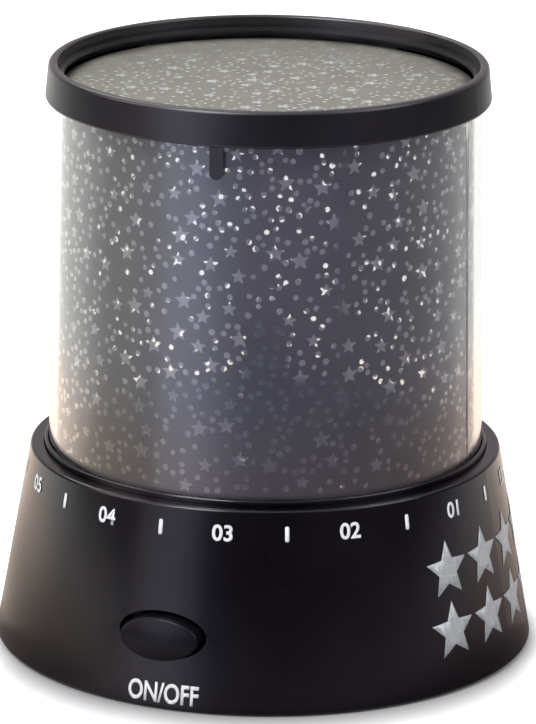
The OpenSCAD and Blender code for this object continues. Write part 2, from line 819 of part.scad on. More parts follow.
module switch_lead_pair() {
    for (side = [-1, 1])
        wire([for (p = switch_lead_path) [side * p[0], p[1], p[2]]], lead_wire_r, [1, 0, 0]);
}

module star_switch_leads() {
    color("#d9c23a") switch_lead_pair();
}

module lamp_switch_leads() {
    color("#3b64b0") at_lamp_button() switch_lead_pair();
}

module jack_leads() {
    color("#b3261e")
    for (side = [-1, 1])
        wire([for (p = jack_path) [p[0], side * p[1], p[2]]], lead_wire_r, [0, 1, 0]);
}

module turn_ring() {
    color("#151419") {
        rotate_extrude() polygon(concat(
            [[turn_ring_in_r, deck_z], [turn_ring_r, deck_z]],
            arc([turn_ring_r - 0.3, lip_z - 0.3], 0.3, 0, 90, 4),
            [[lip_in_r, lip_z], [lip_in_r, seat_z], [turn_ring_in_r, seat_z]]));
        for (k = [0 : key_count - 1]) rotate([0, 0, 360 / key_count * k - key_angle / 2])
            rotate_extrude(angle = key_angle)
                translate([cover_foot_in_r + shade_gap, seat_z - 0.5])
                square([cover_wall - 2 * shade_gap, key_h + 0.5]);
    }
}

// Clear cup with notches for the keys of the turn ring and nibs under the film
module clear_cover() {
    notch_angle = key_angle + 2 * asin(shade_gap / cover_foot_r);
    color("#dfe6ea", 0.35)
    difference() {
        union() {
            rotate_extrude() polygon(concat(
                [[cover_foot_in_r, seat_z], [cover_foot_r, seat_z]],
                arc([cover_r(window_z) - cover_edge_r, window_z - cover_edge_r], cover_edge_r, 0, 90),
                [[0, window_z], [0, window_under_z], [cover_in_r(window_under_z), window_under_z]]));
            for (a = third_turns) rotate([0, 0, a]) rotate_extrude(angle = 4)
                translate([cover_in_r(film_z) - nib_t, film_z - nib_t]) square([nib_t + cover_wall / 2, nib_t]);
        }
        for (k = [0 : key_count - 1]) rotate([0, 0, 360 / key_count * k - notch_angle / 2])
            rotate_extrude(angle = notch_angle)
                translate([cover_foot_in_r - 1, seat_z - 1]) square([cover_wall + 2, 1 + key_h + slide_gap]);
    }
}

// Sleeve of printed film inside the cover, open at its seam
module star_film() {
    top_z = window_under_z - film_t;
    color("#4a4952", 0.85)
    rotate([0, 0, 90 + film_seam / 2]) rotate_extrude(angle = 360 - film_seam) polygon([
        [cover_in_r(film_z) - snug_gap - film_t, film_z], [cover_in_r(film_z) - snug_gap, film_z],
        [cover_in_r(top_z) - snug_gap, top_z], [cover_in_r(top_z) - snug_gap - film_t, top_z]]);
}

// Disc of printed film under the window
module top_star_film() {
    color("#8c8c84", 0.85)
    translate([0, 0, window_under_z - film_t])
        cylinder(r = cover_in_r(window_under_z) - snug_gap, h = film_t);
}

module top_ring() {
    rim_out_r = cover_r(skirt_z) + skirt_t - 0.6;
    rim_in_r = rim_out_r - rim_w;
    color("#1b1a1f") {
        rotate_extrude() polygon(concat(
            [[cover_r(skirt_z) + snug_gap, skirt_z]],
            arc([cover_r(skirt_z) + skirt_t - 0.5, skirt_z + 0.5], 0.5, -90, 0, 4),
            arc([rim_out_r - 0.8, overall_h - 0.8], 0.8, 0, 90),
            arc([rim_in_r + 0.5, overall_h - 0.5], 0.5, 90, 180, 4),
            [[rim_in_r, window_z + ledge_t], [cover_top_r - ledge_w, window_z + ledge_t]],
            [[cover_top_r - ledge_w, window_z], [cover_r(window_z) + snug_gap, window_z]]));
        // Month pointer
        rotate([0, 0, pointer_bearing - 90]) translate([cover_r(skirt_z) + 0.35, 0, skirt_z])
            rotate([90, 0, 90]) linear_extrude(1.1) union() {
                translate([-pointer_w / 2, pointer_w / 2 - pointer_h])
                    square([pointer_w, pointer_h - pointer_w / 2 + 0.2]);
                translate([0, pointer_w / 2 - pointer_h]) circle(d = pointer_w);
            }
    }
}

// Flat door that swings down on two pins, with a sprung tongue at its free end
module battery_door() {
    tongue_w = 14;
    tongue_l = 12;
    groove_inset = 2;
    color("#1a1a1d")
    difference() {
        union() {
            translate([hinge_x, -door_w / 2, plate_z]) cube([door_l - barrel_r, door_w, door_t]);
            translate([hinge_x, 0, hinge_z]) rotate([90, 0, 0]) {
                cylinder(r = barrel_r, h = door_w, center = true);
                cylinder(r = hinge_pin_r, h = door_w + 2 * hinge_pin_l - 0.2, center = true);
            }
        }
        for (side = [-1, 1]) translate([door_l / 2 - tongue_l, side * tongue_w / 2 - 0.5, plate_z - cut])
            cube([tongue_l + 1, 1, door_t + 2 * cut]);
        for (i = [0 : 4]) translate([door_l / 2 - 3 - 1.8 * i, -tongue_w / 2 + groove_inset, plate_z - cut])
            cube([0.8, tongue_w - 2 * groove_inset, 0.5]);
    }
}

module door_pad() {
    color("#4b4b4d")
    translate([-pad_l / 2, -door_w / 2 + pad_inset, door_top_z]) cube([pad_l, door_w - 2 * pad_inset, pad_t]);
}

base_shell();
base_plate();
plate_screws();
rubber_feet();
lamp_tower();
tower_screws();
star_led();
star_led_leads();
lamp_leds();
lamp_led_leads();
lamp_board();
board_screws();
board_resistors();
board_capacitor();
control_chip();
star_switch();
star_switch_board();
lamp_switch();
lamp_switch_board();
dc_jack();
dc_jack_pin();
battery_cell_1();
battery_cell_2();
battery_cell_3();
battery_springs();
battery_contacts();
power_lead_red();
power_lead_black();
star_switch_leads();
lamp_switch_leads();
jack_leads();
turn_ring();
clear_cover();
star_film();
top_star_film();
top_ring();
star_button();
star_plunger();
lamp_button();
lamp_plunger();
battery_door();
door_pad();
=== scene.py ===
import math

import bmesh
import bpy
from mathutils import Matrix, Vector
from mathutils.geometry import delaunay_2d_cdt


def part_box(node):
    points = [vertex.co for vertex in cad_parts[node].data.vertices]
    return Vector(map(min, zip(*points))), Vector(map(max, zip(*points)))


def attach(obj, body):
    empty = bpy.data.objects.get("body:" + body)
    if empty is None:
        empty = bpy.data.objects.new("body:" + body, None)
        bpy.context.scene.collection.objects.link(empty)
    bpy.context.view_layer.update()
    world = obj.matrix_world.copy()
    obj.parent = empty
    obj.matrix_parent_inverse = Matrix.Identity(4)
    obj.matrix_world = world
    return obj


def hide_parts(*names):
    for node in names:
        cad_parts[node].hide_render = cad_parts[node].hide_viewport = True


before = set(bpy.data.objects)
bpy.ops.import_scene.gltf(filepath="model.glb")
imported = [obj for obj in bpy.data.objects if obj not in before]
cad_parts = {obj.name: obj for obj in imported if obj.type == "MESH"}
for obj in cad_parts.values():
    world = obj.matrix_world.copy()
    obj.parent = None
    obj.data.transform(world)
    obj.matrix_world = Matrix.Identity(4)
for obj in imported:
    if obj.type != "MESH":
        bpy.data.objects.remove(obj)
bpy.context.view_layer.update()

# A table-top planetarium projector. The dictionaries hold millimetres and degrees, Blender holds
# metres. Bearings run from the star button, which faces -Y, towards +X.
mm = 0.001
noiseSpan = (0.3, 0.7)  # most of a noise lies between these
scene = bpy.context.scene


# Linear colour of an sRGB hex code
def toLinear(hexColour):
    channels = [int(hexColour[i:i + 2], 16) / 255 for i in (1, 3, 5)]
    return [c / 12.92 if c <= 0.04045 else ((c + 0.055) / 1.055) ** 2.4 for c in channels] + [1]


# Adds a node with its settings. An input is a value, a socket, or a node, which gives the first of its
# outputs that is in use. The stops are those of a colour ramp, as hex colours or brightnesses
def addNode(tree, kind, inputs=None, stops=None, **settings):
    node = tree.nodes.new(kind)
    for name, value in settings.items():
        setattr(node, name, value)
    for name, value in (inputs or {}).items():
        if isinstance(value, bpy.types.Node):
            value = next(output for output in value.outputs if output.enabled)
        if isinstance(value, bpy.types.NodeSocket):
            tree.links.new(value, node.inputs[name])
        else:
            node.inputs[name].default_value = value
    if stops:
        elements = node.color_ramp.elements
        while len(elements) < len(stops):
            elements.new(0.5)
        for element, (place, colour) in zip(elements, stops):
            element.position = place
            element.color = toLinear(colour) if isinstance(colour, str) else [colour] * 3 + [1]
    return node


def startMaterial(name):
    material = bpy.data.materials.new(name)
    material.use_nodes = True
    tree = material.node_tree
    tree.nodes.clear()
    return material, tree, addNode(tree, "ShaderNodeTexCoord").outputs["Object"]


def finishMaterial(material, surface):
    addNode(material.node_tree, "ShaderNodeOutputMaterial", {"Surface": surface})
    return material


# A noise of a size in millimetres, and a tone that turns with it from the colour to the paler one
def addMottle(tree, place, v, size, span=noiseSpan, detail=4, roughness=0.5):
    noise = addNode(tree, "ShaderNodeTexNoise", {
        "Vector": place, "Scale": 1 / (v[size] * mm), "Detail": detail, "Roughness": roughness})
    return noise, addNode(tree, "ShaderNodeValToRGB", {"Fac": noise}, [
        (span[0], v["colour"]), (span[1], v["paler"])])


def addObject(name, mesh):
    piece = bpy.data.objects.new(name, mesh)
    scene.collection.objects.link(piece)
    return piece


def addMesh(name, points, faces, materials, sharp=30):
    mesh = bpy.data.meshes.new(name)
    mesh.from_pydata(points, [], faces)
    for material in materials:
        mesh.materials.append(material)
    mesh.shade_smooth()
    if sharp:
        mesh.set_sharp_from_angle(angle=math.radians(sharp))
    return addObject(name, mesh)


# Plain mesh of what an object's text or modifiers make
def madeMesh(piece):
    bpy.context.view_layer.update()
    return bpy.data.meshes.new_from_object(piece.evaluated_get(bpy.context.evaluated_depsgraph_get()))


# A tree of geometry nodes with named inputs, whose kinds follow from their values. None is a material
def startTree(name, inputs):
    kinds = {type(None): "NodeSocketMaterial", int: "NodeSocketInt", float: "NodeSocketFloat"}
    tree = bpy.data.node_groups.new(name, "GeometryNodeTree")
    tree.interface.new_socket("Geometry", in_out="INPUT", socket_type="NodeSocketGeometry")
    for label, value in inputs.items():
        socket = tree.interface.new_socket(label, in_out="INPUT", socket_type=kinds[type(value)])
        if value is not None:
            socket.default_value = value
    tree.interface.new_socket("Geometry", in_out="OUTPUT", socket_type="NodeSocketGeometry")
    return tree, addNode(tree, "NodeGroupInput").outputs


# Makes a tree's copies real, in one material
def finishTree(tree, copies, material):
    real = addNode(tree, "GeometryNodeRealizeInstances", {"Geometry": copies})
    painted = addNode(tree, "GeometryNodeSetMaterial", {"Geometry": real, "Material": material})
    addNode(tree, "NodeGroupOutput", {"Geometry": painted})
    return tree


# What a tree makes of a mesh or of nothing, with its inputs set by their identifiers
def runTree(name, tree, inputs, mesh=None):
    mesh = mesh or bpy.data.meshes.new(name)
    holder = addObject(name, mesh)
    modifier = holder.modifiers.new(tree.name, "NODES")
    modifier.node_group = tree
    for item in tree.interface.items_tree:
        if item.in_out == "INPUT" and item.name in inputs:
            modifier[item.identifier] = inputs[item.name]
    made = madeMesh(holder)
    bpy.data.objects.remove(holder)
    bpy.data.meshes.remove(mesh)
    return made


# Fitted to the outlines of the rims, the land and the base
cameraFit = {
    "bearing": 22.6, "elevation": 16.041, "distance": 1073.63, "orbitHeight": 60,
    "aimSide": 0.411, "aimHeight": 57.105, "roll": 0.5898, "focalPixels": 5262,
    "imageWidth": 536, "filmWidth": 36,
}


def addCamera(v):
    lift = math.radians(v["elevation"])
    place = Vector((0, -v["distance"] * math.cos(lift), v["distance"] * math.sin(lift) + v["orbitHeight"]))
    ahead = (Vector((v["aimSide"], 0, v["aimHeight"])) - place).normalized()
    right = ahead.cross(Vector((0, 0, 1))).normalized()
    up = right.cross(ahead)
    tilt = math.radians(v["roll"])
    axes = [
        right * math.cos(tilt) + up * math.sin(tilt), up * math.cos(tilt) - right * math.sin(tilt), -ahead]
    turn = Matrix.Rotation(math.radians(v["bearing"]), 4, "Z")
    pose = Matrix(axes).transposed().to_4x4()
    pose.translation = place * mm
    data = bpy.data.cameras.new("camera")
    data.sensor_fit = "HORIZONTAL"
    data.sensor_width = v["filmWidth"]
    data.lens = v["focalPixels"] * v["filmWidth"] / v["imageWidth"]
    data.clip_start = 0.01
    camera = addObject("camera", data)
    camera.matrix_world = turn @ pose
    scene.camera = camera


addCamera(cameraFit)
print("camera placed")

# Brightness of the room by bearing from the camera's side: 0 and 1 are behind the object, 0.25 is
# left of it, 0.5 is towards the camera and 0.75 is right of it. Only mirrored and bent rays see
# these. Matt surfaces get one plain soft light, and the camera sees the white backdrop.
# The reaches are distances from the object's middle by bearing, where a painted shade on the table ends.
room = {
    "horizon": [
        (0, 1.2), (0.07, 1), (0.11, 0.8), (0.17, 0.28), (0.22, 0.05), (0.32, 0.04), (0.355, 0.8),
        (0.395, 0.9), (0.415, 0.35), (0.43, 0.12), (0.47, 0.04), (0.78, 0.03), (0.86, 0.08), (0.91, 0.35),
        (0.95, 0.85), (1, 1.2)],
    "upper": [
        (0, 0.5), (0.1, 0.5), (0.2, 0.2), (0.23, 1), (0.26, 3), (0.3, 3), (0.32, 1.2), (0.335, 1.2),
        (0.35, 3), (0.41, 3), (0.43, 0.3), (0.46, 0.1), (0.55, 0.05), (0.62, 0.8), (0.68, 0.8), (0.75, 0.1),
        (0.9, 0.5), (1, 0.5)],
    "floor": [
        (0, 1.25), (0.09, 1.2), (0.15, 1.2), (0.19, 1.3), (0.22, 1.15), (0.25, 0.95), (0.335, 1.05),
        (0.36, 1.55), (0.395, 1.55), (0.42, 1.2), (0.445, 0.88), (0.475, 0.64), (0.55, 0.55), (0.63, 0.46),
        (0.7, 0.52), (0.76, 0.68), (0.83, 0.88), (0.9, 1.05), (1, 1.25)],
    "tint": [
        (0.12, "#fffdf9"), (0.3, "#fdfbfa"), (0.38, "#e0e4ff"), (0.46, "#d8daff"), (0.6, "#e0dcff"),
        (0.75, "#f6f0fa"), (0.9, "#fffdf9")],
    "wallTint": [(0.1, "#fff8fa"), (0.3, "#ffe8f4"), (0.4, "#e2e2ff"), (0.7, "#f0dcff"), (0.85, "#fff0fa")],
    "shadeReach": [
        (0, 180), (0.08, 180), (0.16, 220), (0.22, 260), (0.28, 380), (0.33, 380), (0.42, 200), (0.6, 160),
        (0.7, 280), (0.8, 330), (0.9, 200), (1, 180)],
    "contactReach": [
        (0.1, 66), (0.24, 66), (0.285, 160), (0.335, 160), (0.36, 100), (0.45, 120), (0.55, 120),
        (0.64, 190), (0.72, 190), (0.77, 70), (1, 66)],
    "shadowReach": [
        (0, 76), (0.07, 76), (0.15, 59), (0.25, 58), (0.31, 61), (0.36, 72), (0.41, 80), (0.5, 80),
        (0.56, 77), (0.6, 74), (0.65, 67), (0.69, 61), (0.75, 58), (0.85, 59), (0.93, 76), (1, 76)],
    "paintedWarmLight": [(0.2, "#ffece0"), (0.28, "#ffffff")],  # painted warm light in the mirrored table, by distance in metres, near the object
    "shadeFrom": 60, "footShade": 0.48,  # the object's own shade, painted into the mirrored table
    "contactFrom": 54, "contact": 0.45,  # the darkest part of that painted shade, at the foot
    "shadowFrom": 53, "floorGlow": 0.75,  # a painted shadow that the camera sees round the foot, where the glow fades
    "gainFrom": 190, "gainTo": 300, "paintedLightGain": 1.25,  # painted light: the mirrored table is brighter near the object
    "mattFrom": 55, "mattTo": 66, "paintedMattShade": 0.5,  # painted shade: the matt table is darker at the foot
    "nearFloor": 500, "farFloor": 650,  # where the mirrored table turns into the horizon
    "upperBlend": (0.05, 0.17), "zenithBlend": (0.55, 0.85),  # sines of a ray's angle above level
    "zenith": 0.9, "softLight": 0.55, "lampAim": 50,
    "floorWidth": 6000, "colour": "#e2e2e4", "paler": "#e8e8ea", "mottle": 25,  # the bare table
    "key": {"bearing": -40, "elevation": 48, "distance": 1300, "width": 620, "power": 10.5},
    "fill": {"bearing": 70, "elevation": 40, "distance": 1500, "width": 900, "power": 4.5},
    "back": {"bearing": -150, "elevation": 50, "distance": 1300, "width": 800, "power": 4},
}


# Bearing of a vector from the camera's side, as 0 to 1, and its height
def bearingAndHeight(tree, vector):
    turned = addNode(tree, "ShaderNodeMapping", {
        "Vector": vector, "Rotation": (0, 0, -math.radians(cameraFit["bearing"]))})
    parts = addNode(tree, "ShaderNodeSeparateXYZ", {"Vector": turned}).outputs
    front = addNode(tree, "ShaderNodeMath", {0: parts["Y"], 1: -1}, operation="MULTIPLY")
    angle = addNode(tree, "ShaderNodeMath", {0: parts["X"], 1: front}, operation="ARCTAN2")
    turns = addNode(tree, "ShaderNodeMath", {0: angle, 1: 1 / math.tau, 2: 0.5}, operation="MULTIPLY_ADD")
    return turns, parts["Z"]


# Room light by bearing, warm behind the object and cool in front of it
def roomLight(tree, bearing, stops, tintStops):
    light = addNode(tree, "ShaderNodeValToRGB", {"Fac": bearing}, stops)
    tint = addNode(tree, "ShaderNodeValToRGB", {"Fac": bearing}, tintStops)
    return addNode(tree, "ShaderNodeVectorMath", {0: light, 1: tint}, operation="MULTIPLY")


# Share of a ray that has been mirrored or bent
def bentShare(tree, ray):
    return addNode(tree, "ShaderNodeMath", {
        0: ray["Is Glossy Ray"], 1: ray["Is Transmission Ray"]}, operation="ADD", use_clamp=True)


def addWorld(v):
    world = bpy.data.worlds.new("studio")
    world.use_nodes = True
    scene.world = world
    tree = world.node_tree
    tree.nodes.clear()
    bearing, height = bearingAndHeight(tree, addNode(tree, "ShaderNodeTexCoord").outputs["Generated"])
    lift, top = (
        addNode(tree, "ShaderNodeMapRange", {"Value": height, "From Min": low, "From Max": high})
        for low, high in (v["upperBlend"], v["zenithBlend"]))
    walls = addNode(tree, "ShaderNodeMix", {
        0: lift, 6: roomLight(tree, bearing, v["horizon"], v["wallTint"]),
        7: roomLight(tree, bearing, v["upper"], v["wallTint"])}, data_type="RGBA")
    mirrored = addNode(tree, "ShaderNodeMix", {
        0: top, 6: walls, 7: [v["zenith"]] * 3 + [1]}, data_type="RGBA")
    ray = addNode(tree, "ShaderNodeLightPath").outputs
    light = addNode(tree, "ShaderNodeMix", {
        0: bentShare(tree, ray), 6: [v["softLight"]] * 3 + [1], 7: mirrored}, data_type="RGBA")
    seen = addNode(tree, "ShaderNodeMix", {
        0: ray["Is Camera Ray"], 6: light, 7: (1, 1, 1, 1)}, data_type="RGBA")
    background = addNode(tree, "ShaderNodeBackground", {"Color": seen})
    addNode(tree, "ShaderNodeOutputWorld", {"Surface": background})


# Pale matt table. It glows a little for the camera, so that it meets the white backdrop and still
# takes the object's cast shadow. The glow fades round the foot, which paints a shadow there, and the
# matt colour darkens there as painted shade. Reflections see it fall off towards the dark side of the
# room, with the object's painted shade on it and painted light near the object
def addFloor(v):
    material, tree, place = startMaterial("paleMattTable")
    bearing, _ = bearingAndHeight(tree, place)
    distance = addNode(tree, "ShaderNodeVectorMath", {0: place}, operation="LENGTH")
    reach = {}
    for name in ("shadeReach", "contactReach", "shadowReach"):
        reach[name] = addNode(tree, "ShaderNodeValToRGB", {
            "Fac": bearing}, [(turn, far * mm) for turn, far in v[name]])
    # What changes between two distances from the middle, and from what to what
    share = {}
    for name, near, far, low, high, curve in (
            ("room", v["nearFloor"] * mm, v["farFloor"] * mm, 0, 1, "SMOOTHSTEP"),
            ("shade", v["shadeFrom"] * mm, reach["shadeReach"], v["footShade"], 1, "SMOOTHSTEP"),
            ("contact", v["contactFrom"] * mm, reach["contactReach"], v["contact"], 1, "SMOOTHSTEP"),
            ("glow", v["shadowFrom"] * mm, reach["shadowReach"], 0, v["floorGlow"], "SMOOTHSTEP"),
            ("gain", v["gainFrom"] * mm, v["gainTo"] * mm, v["paintedLightGain"], 1, "LINEAR"),
            ("matt", v["mattFrom"] * mm, v["mattTo"] * mm, v["paintedMattShade"], 1, "LINEAR")):
        share[name] = addNode(tree, "ShaderNodeMapRange", {
            "Value": distance, "From Min": near, "From Max": far, "To Min": low, "To Max": high},
            interpolation_type=curve)
    mirror = addNode(tree, "ShaderNodeMix", {
        0: share["room"], 6: roomLight(tree, bearing, v["floor"], v["tint"]),
        7: roomLight(tree, bearing, v["horizon"], v["tint"])}, data_type="RGBA")
    # Painted warm light near the object, in what mirrored rays see of the table
    paintedWarmLight = addNode(tree, "ShaderNodeValToRGB", {"Fac": distance}, v["paintedWarmLight"])
    light = addNode(tree, "ShaderNodeVectorMath", {0: mirror, 1: paintedWarmLight}, operation="MULTIPLY")
    # Painted shade of the object and painted light near it, in the mirrored table
    for name in ("shade", "gain", "contact"):
        light = addNode(tree, "ShaderNodeVectorMath", {0: light, "Scale": share[name]}, operation="SCALE")
    reflected = addNode(tree, "ShaderNodeEmission", {"Color": light})
    _, tone = addMottle(tree, place, v, "mottle", detail=3)
    # Painted shade: the matt colour darkens towards the foot
    footed = addNode(tree, "ShaderNodeVectorMath", {0: tone, "Scale": share["matt"]}, operation="SCALE")
    matt = addNode(tree, "ShaderNodeBsdfDiffuse", {"Color": footed})
    ray = addNode(tree, "ShaderNodeLightPath").outputs
    # The glow fades round the foot, which paints a shadow there for the camera
    glowing = addNode(tree, "ShaderNodeMath", {
        0: ray["Is Camera Ray"], 1: share["glow"]}, operation="MULTIPLY")
    glow = addNode(tree, "ShaderNodeEmission", {"Color": (1, 1, 1, 1), "Strength": glowing})
    table = addNode(tree, "ShaderNodeAddShader", {0: matt, 1: glow})
    both = addNode(tree, "ShaderNodeMixShader", {0: bentShare(tree, ray), 1: table, 2: reflected})
    # Clear from below, so that the underside can be seen
    side = addNode(tree, "ShaderNodeNewGeometry").outputs
    clear = addNode(tree, "ShaderNodeBsdfTransparent")
    finishMaterial(material, addNode(tree, "ShaderNodeMixShader", {
        0: side["Backfacing"], 1: both, 2: clear}))
    half = v["floorWidth"] * mm / 2
    corners = [(-half, -half, 0), (half, -half, 0), (half, half, 0), (-half, half, 0)]
    floor = addMesh("floor", corners, [(0, 1, 2, 3)], [material])


def addLamp(name, v):
    data = bpy.data.lights.new(name, "AREA")
    data.shape = "DISK"
    data.size = v["width"] * mm
    data.energy = v["power"]
    lamp = addObject(name, data)
    turn = math.radians(cameraFit["bearing"] + v["bearing"])
    lift = math.radians(v["elevation"])
    away = Vector((math.sin(turn) * math.cos(lift), -math.cos(turn) * math.cos(lift), math.sin(lift)))
    lamp.location = away * v["distance"] * mm + Vector((0, 0, room["lampAim"] * mm))
    lamp.rotation_euler = (-away).to_track_quat("-Z", "Y").to_euler()


addWorld(room)
addFloor(room)
for lampName in ("key", "fill", "back"):
    addLamp(lampName, room[lampName])
scene.view_settings.view_transform = "Standard"
scene.cycles.transparent_max_bounces = 40  # a ray through both walls and the disc meets many windows
print("room lit")


# Opaque moulded plastic or rubber: a satin skin that copies the mould's fine spark-eroded grain,
# with slow changes of tone and gloss where the melt flowed, and a little dust
def mouldedPlastic(name, v):
    material, tree, place = startMaterial(name)
    flow, tone = addMottle(tree, place, v, "flow", (0.32, 0.68), roughness=0.55)
    specks = addNode(tree, "ShaderNodeTexNoise", {
        "Vector": place, "Scale": 1 / (v["speck"] * mm), "Detail": 2})
    dust = addNode(tree, "ShaderNodeMapRange", {
        "Value": specks, "From Min": 0.68, "From Max": 0.78, "To Max": v["dust"]})  # on the peaks only
    skin = addNode(tree, "ShaderNodeMix", {
        0: dust, 6: tone, 7: toLinear(v["dustColour"])}, data_type="RGBA")
    gloss = addNode(tree, "ShaderNodeMapRange", {
        "Value": flow, "From Min": noiseSpan[0], "From Max": noiseSpan[1],
        "To Min": v["roughness"] - v["spread"], "To Max": v["roughness"] + v["spread"]})
    grain = addNode(tree, "ShaderNodeTexNoise", {
        "Vector": place, "Scale": 1 / (v["grain"] * mm), "Detail": 3, "Roughness": 0.65})
    bump = addNode(tree, "ShaderNodeBump", {
        "Height": grain, "Strength": v["grainStrength"], "Distance": v["grain"] * v["depth"] * mm})
    shader = addNode(tree, "ShaderNodeBsdfPrincipled", {
        "Base Color": skin, "Roughness": gloss, "IOR": v["ior"], "Normal": bump})
    return finishMaterial(material, shader)


# Metal sheet or wire: bright, with the long fine marks of drawing or the mottle of plating
def platedMetal(name, v):
    material, tree, place = startMaterial(name)
    drawn = addNode(tree, "ShaderNodeMapping", {"Vector": place, "Scale": v["stretch"]})
    marks, tone = addMottle(tree, drawn, v, "grain")
    gloss = addNode(tree, "ShaderNodeMapRange", {
        "Value": marks, "From Min": noiseSpan[0], "From Max": noiseSpan[1],
        "To Min": v["roughness"] - v["glossier"], "To Max": v["roughness"] + v["duller"]})
    bump = addNode(tree, "ShaderNodeBump", {
        "Height": marks, "Strength": 0.25, "Distance": v["grain"] * v["depth"] * mm})
    shader = addNode(tree, "ShaderNodeBsdfPrincipled", {
        "Base Color": tone, "Metallic": 1, "Roughness": gloss, "Normal": bump})
    return finishMaterial(material, shader)


# Screen-printed ink: a matt flat coat, mottled by the mesh of the screen
def printedInk(name, v):
    material, tree, place = startMaterial(name)
    mottle, tone = addMottle(tree, place, v, "mottle", (0.33, 0.6), roughness=0.6)
    bump = addNode(tree, "ShaderNodeBump", {"Height": mottle, "Strength": 0.3, "Distance": 0.01 * mm})
    shader = addNode(tree, "ShaderNodeBsdfPrincipled", {
        "Base Color": tone, "Roughness": v["roughness"], "Metallic": v["metallic"], "Normal": bump})
    return finishMaterial(material, shader)


# Translucent ink on polyester film: it dims and blurs what is behind it, so that only the windows
# are clear. The tone clouds where the coat is thicker
def inkedFilm(name, v):
    material, tree, place = startMaterial(name)
    cloud, tone = addMottle(tree, place, v, "cloud", roughness=0.6)
    gloss = addNode(tree, "ShaderNodeMapRange", {
        "Value": cloud, "From Min": noiseSpan[0], "From Max": noiseSpan[1],
        "To Min": v["roughness"] - v["spread"], "To Max": v["roughness"] + v["spread"]})
    shader = addNode(tree, "ShaderNodeBsdfPrincipled", {
        "Base Color": tone, "Roughness": gloss, "IOR": 1.5, "Transmission Weight": v["through"]})
    return finishMaterial(material, shader)


# Bare polyester in a window of the film: light goes straight through, and both its skins, counted
# on the side that faces the ray, mirror more towards a glancing view
def bareFilm(name, v):
    material, tree, place = startMaterial(name)
    _, tone = addMottle(tree, place, v, "haze", detail=2)
    fresnel = addNode(tree, "ShaderNodeFresnel", {"IOR": v["ior"]})
    side = addNode(tree, "ShaderNodeNewGeometry").outputs
    front = addNode(tree, "ShaderNodeMath", {0: 1, 1: side["Backfacing"]}, operation="SUBTRACT")
    skins = addNode(tree, "ShaderNodeMath", {0: fresnel, 1: v["skins"]}, operation="MULTIPLY")
    share = addNode(tree, "ShaderNodeMath", {0: skins, 1: front}, operation="MULTIPLY", use_clamp=True)
    through = addNode(tree, "ShaderNodeBsdfTransparent", {"Color": tone})
    mirror = addNode(tree, "ShaderNodeBsdfGlossy", {"Color": (1, 1, 1, 1), "Roughness": v["roughness"]})
    milk = addNode(tree, "ShaderNodeBsdfDiffuse", {"Color": tone})
    body = addNode(tree, "ShaderNodeMixShader", {0: v["milk"], 1: through, 2: milk})
    both = addNode(tree, "ShaderNodeMixShader", {0: share, 1: body, 2: mirror})
    return finishMaterial(material, both)


# Clear moulded plastic or epoxy: polished, bends what is seen through it and mirrors more towards
# the edges. Light from the lamps goes straight through, so that it reaches what is inside
def clearMoulding(name, v):
    material, tree, place = startMaterial(name)
    ripple = addNode(tree, "ShaderNodeTexNoise", {
        "Vector": place, "Scale": 1 / (v["ripple"] * mm), "Detail": 1})
    bump = addNode(tree, "ShaderNodeBump", {
        "Height": ripple, "Strength": v["rippleStrength"], "Distance": 0.02 * mm})
    clear = addNode(tree, "ShaderNodeBsdfPrincipled", {
        "Base Color": toLinear(v["colour"]), "Roughness": v["roughness"], "IOR": v["ior"],
        "Transmission Weight": 1, "Normal": bump})
    through = addNode(tree, "ShaderNodeBsdfTransparent", {"Color": toLinear(v["colour"])})
    ray = addNode(tree, "ShaderNodeLightPath").outputs
    straight = addNode(tree, "ShaderNodeMath", {
        0: ray["Is Shadow Ray"], 1: ray["Is Diffuse Ray"]}, operation="ADD", use_clamp=True)
    both = addNode(tree, "ShaderNodeMixShader", {0: straight, 1: clear, 2: through})
    if "plateFrom" in v:
        # The flat top lies on the disc. It shows the film unbent, and the film's skin gives the gloss
        height = addNode(tree, "ShaderNodeSeparateXYZ", {"Vector": place}).outputs["Z"]
        plate = addNode(tree, "ShaderNodeMath", {
            0: height, 1: v["plateFrom"] * mm}, operation="GREATER_THAN")
        both = addNode(tree, "ShaderNodeMixShader", {0: plate, 1: both, 2: through})
    return finishMaterial(material, both)


# Glass-fibre circuit board under green solder mask: glossy, with the tracks showing as paler lines
def circuitBoard(name, v):
    material, tree, place = startMaterial(name)
    cells = addNode(tree, "ShaderNodeTexVoronoi", {
        "Vector": place, "Scale": 1 / (v["track"] * mm)}, distance="MANHATTAN")
    tracks = addNode(tree, "ShaderNodeMapRange", {"Value": cells, "From Min": 0.42, "From Max": 0.46})
    colour = addNode(tree, "ShaderNodeMix", {
        0: tracks, 6: toLinear(v["colour"]), 7: toLinear(v["paler"])}, data_type="RGBA")
    bump = addNode(tree, "ShaderNodeBump", {"Height": tracks, "Strength": 0.5, "Distance": 0.03 * mm})
    shader = addNode(tree, "ShaderNodeBsdfPrincipled", {
        "Base Color": colour, "Roughness": v["roughness"], "Normal": bump})
    return finishMaterial(material, shader)


# Dry cell: a shrunk green PVC sleeve between the bare steel of its two ends
def sleevedCell(name, v, low, high):
    material, tree, place = startMaterial(name)
    along = addNode(tree, "ShaderNodeSeparateXYZ", {"Vector": place}).outputs["X"]
    sleeve = addNode(tree, "ShaderNodeMath", {
        0: along, 1: (low + high) / 2 * mm, 2: (high - low) / 2 * mm}, operation="COMPARE")
    steel = addNode(tree, "ShaderNodeMath", {0: 1, 1: sleeve}, operation="SUBTRACT")
    wrinkle, green = addMottle(tree, place, v, "wrinkle", (0.35, 0.65), detail=3)
    colour = addNode(tree, "ShaderNodeMix", {
        0: sleeve, 6: toLinear(v["steel"]), 7: green}, data_type="RGBA")
    bump = addNode(tree, "ShaderNodeBump", {"Height": wrinkle, "Strength": 0.2, "Distance": 0.05 * mm})
    shader = addNode(tree, "ShaderNodeBsdfPrincipled", {
        "Base Color": colour, "Metallic": steel, "Roughness": v["roughness"], "Normal": bump})
    return finishMaterial(material, shader)


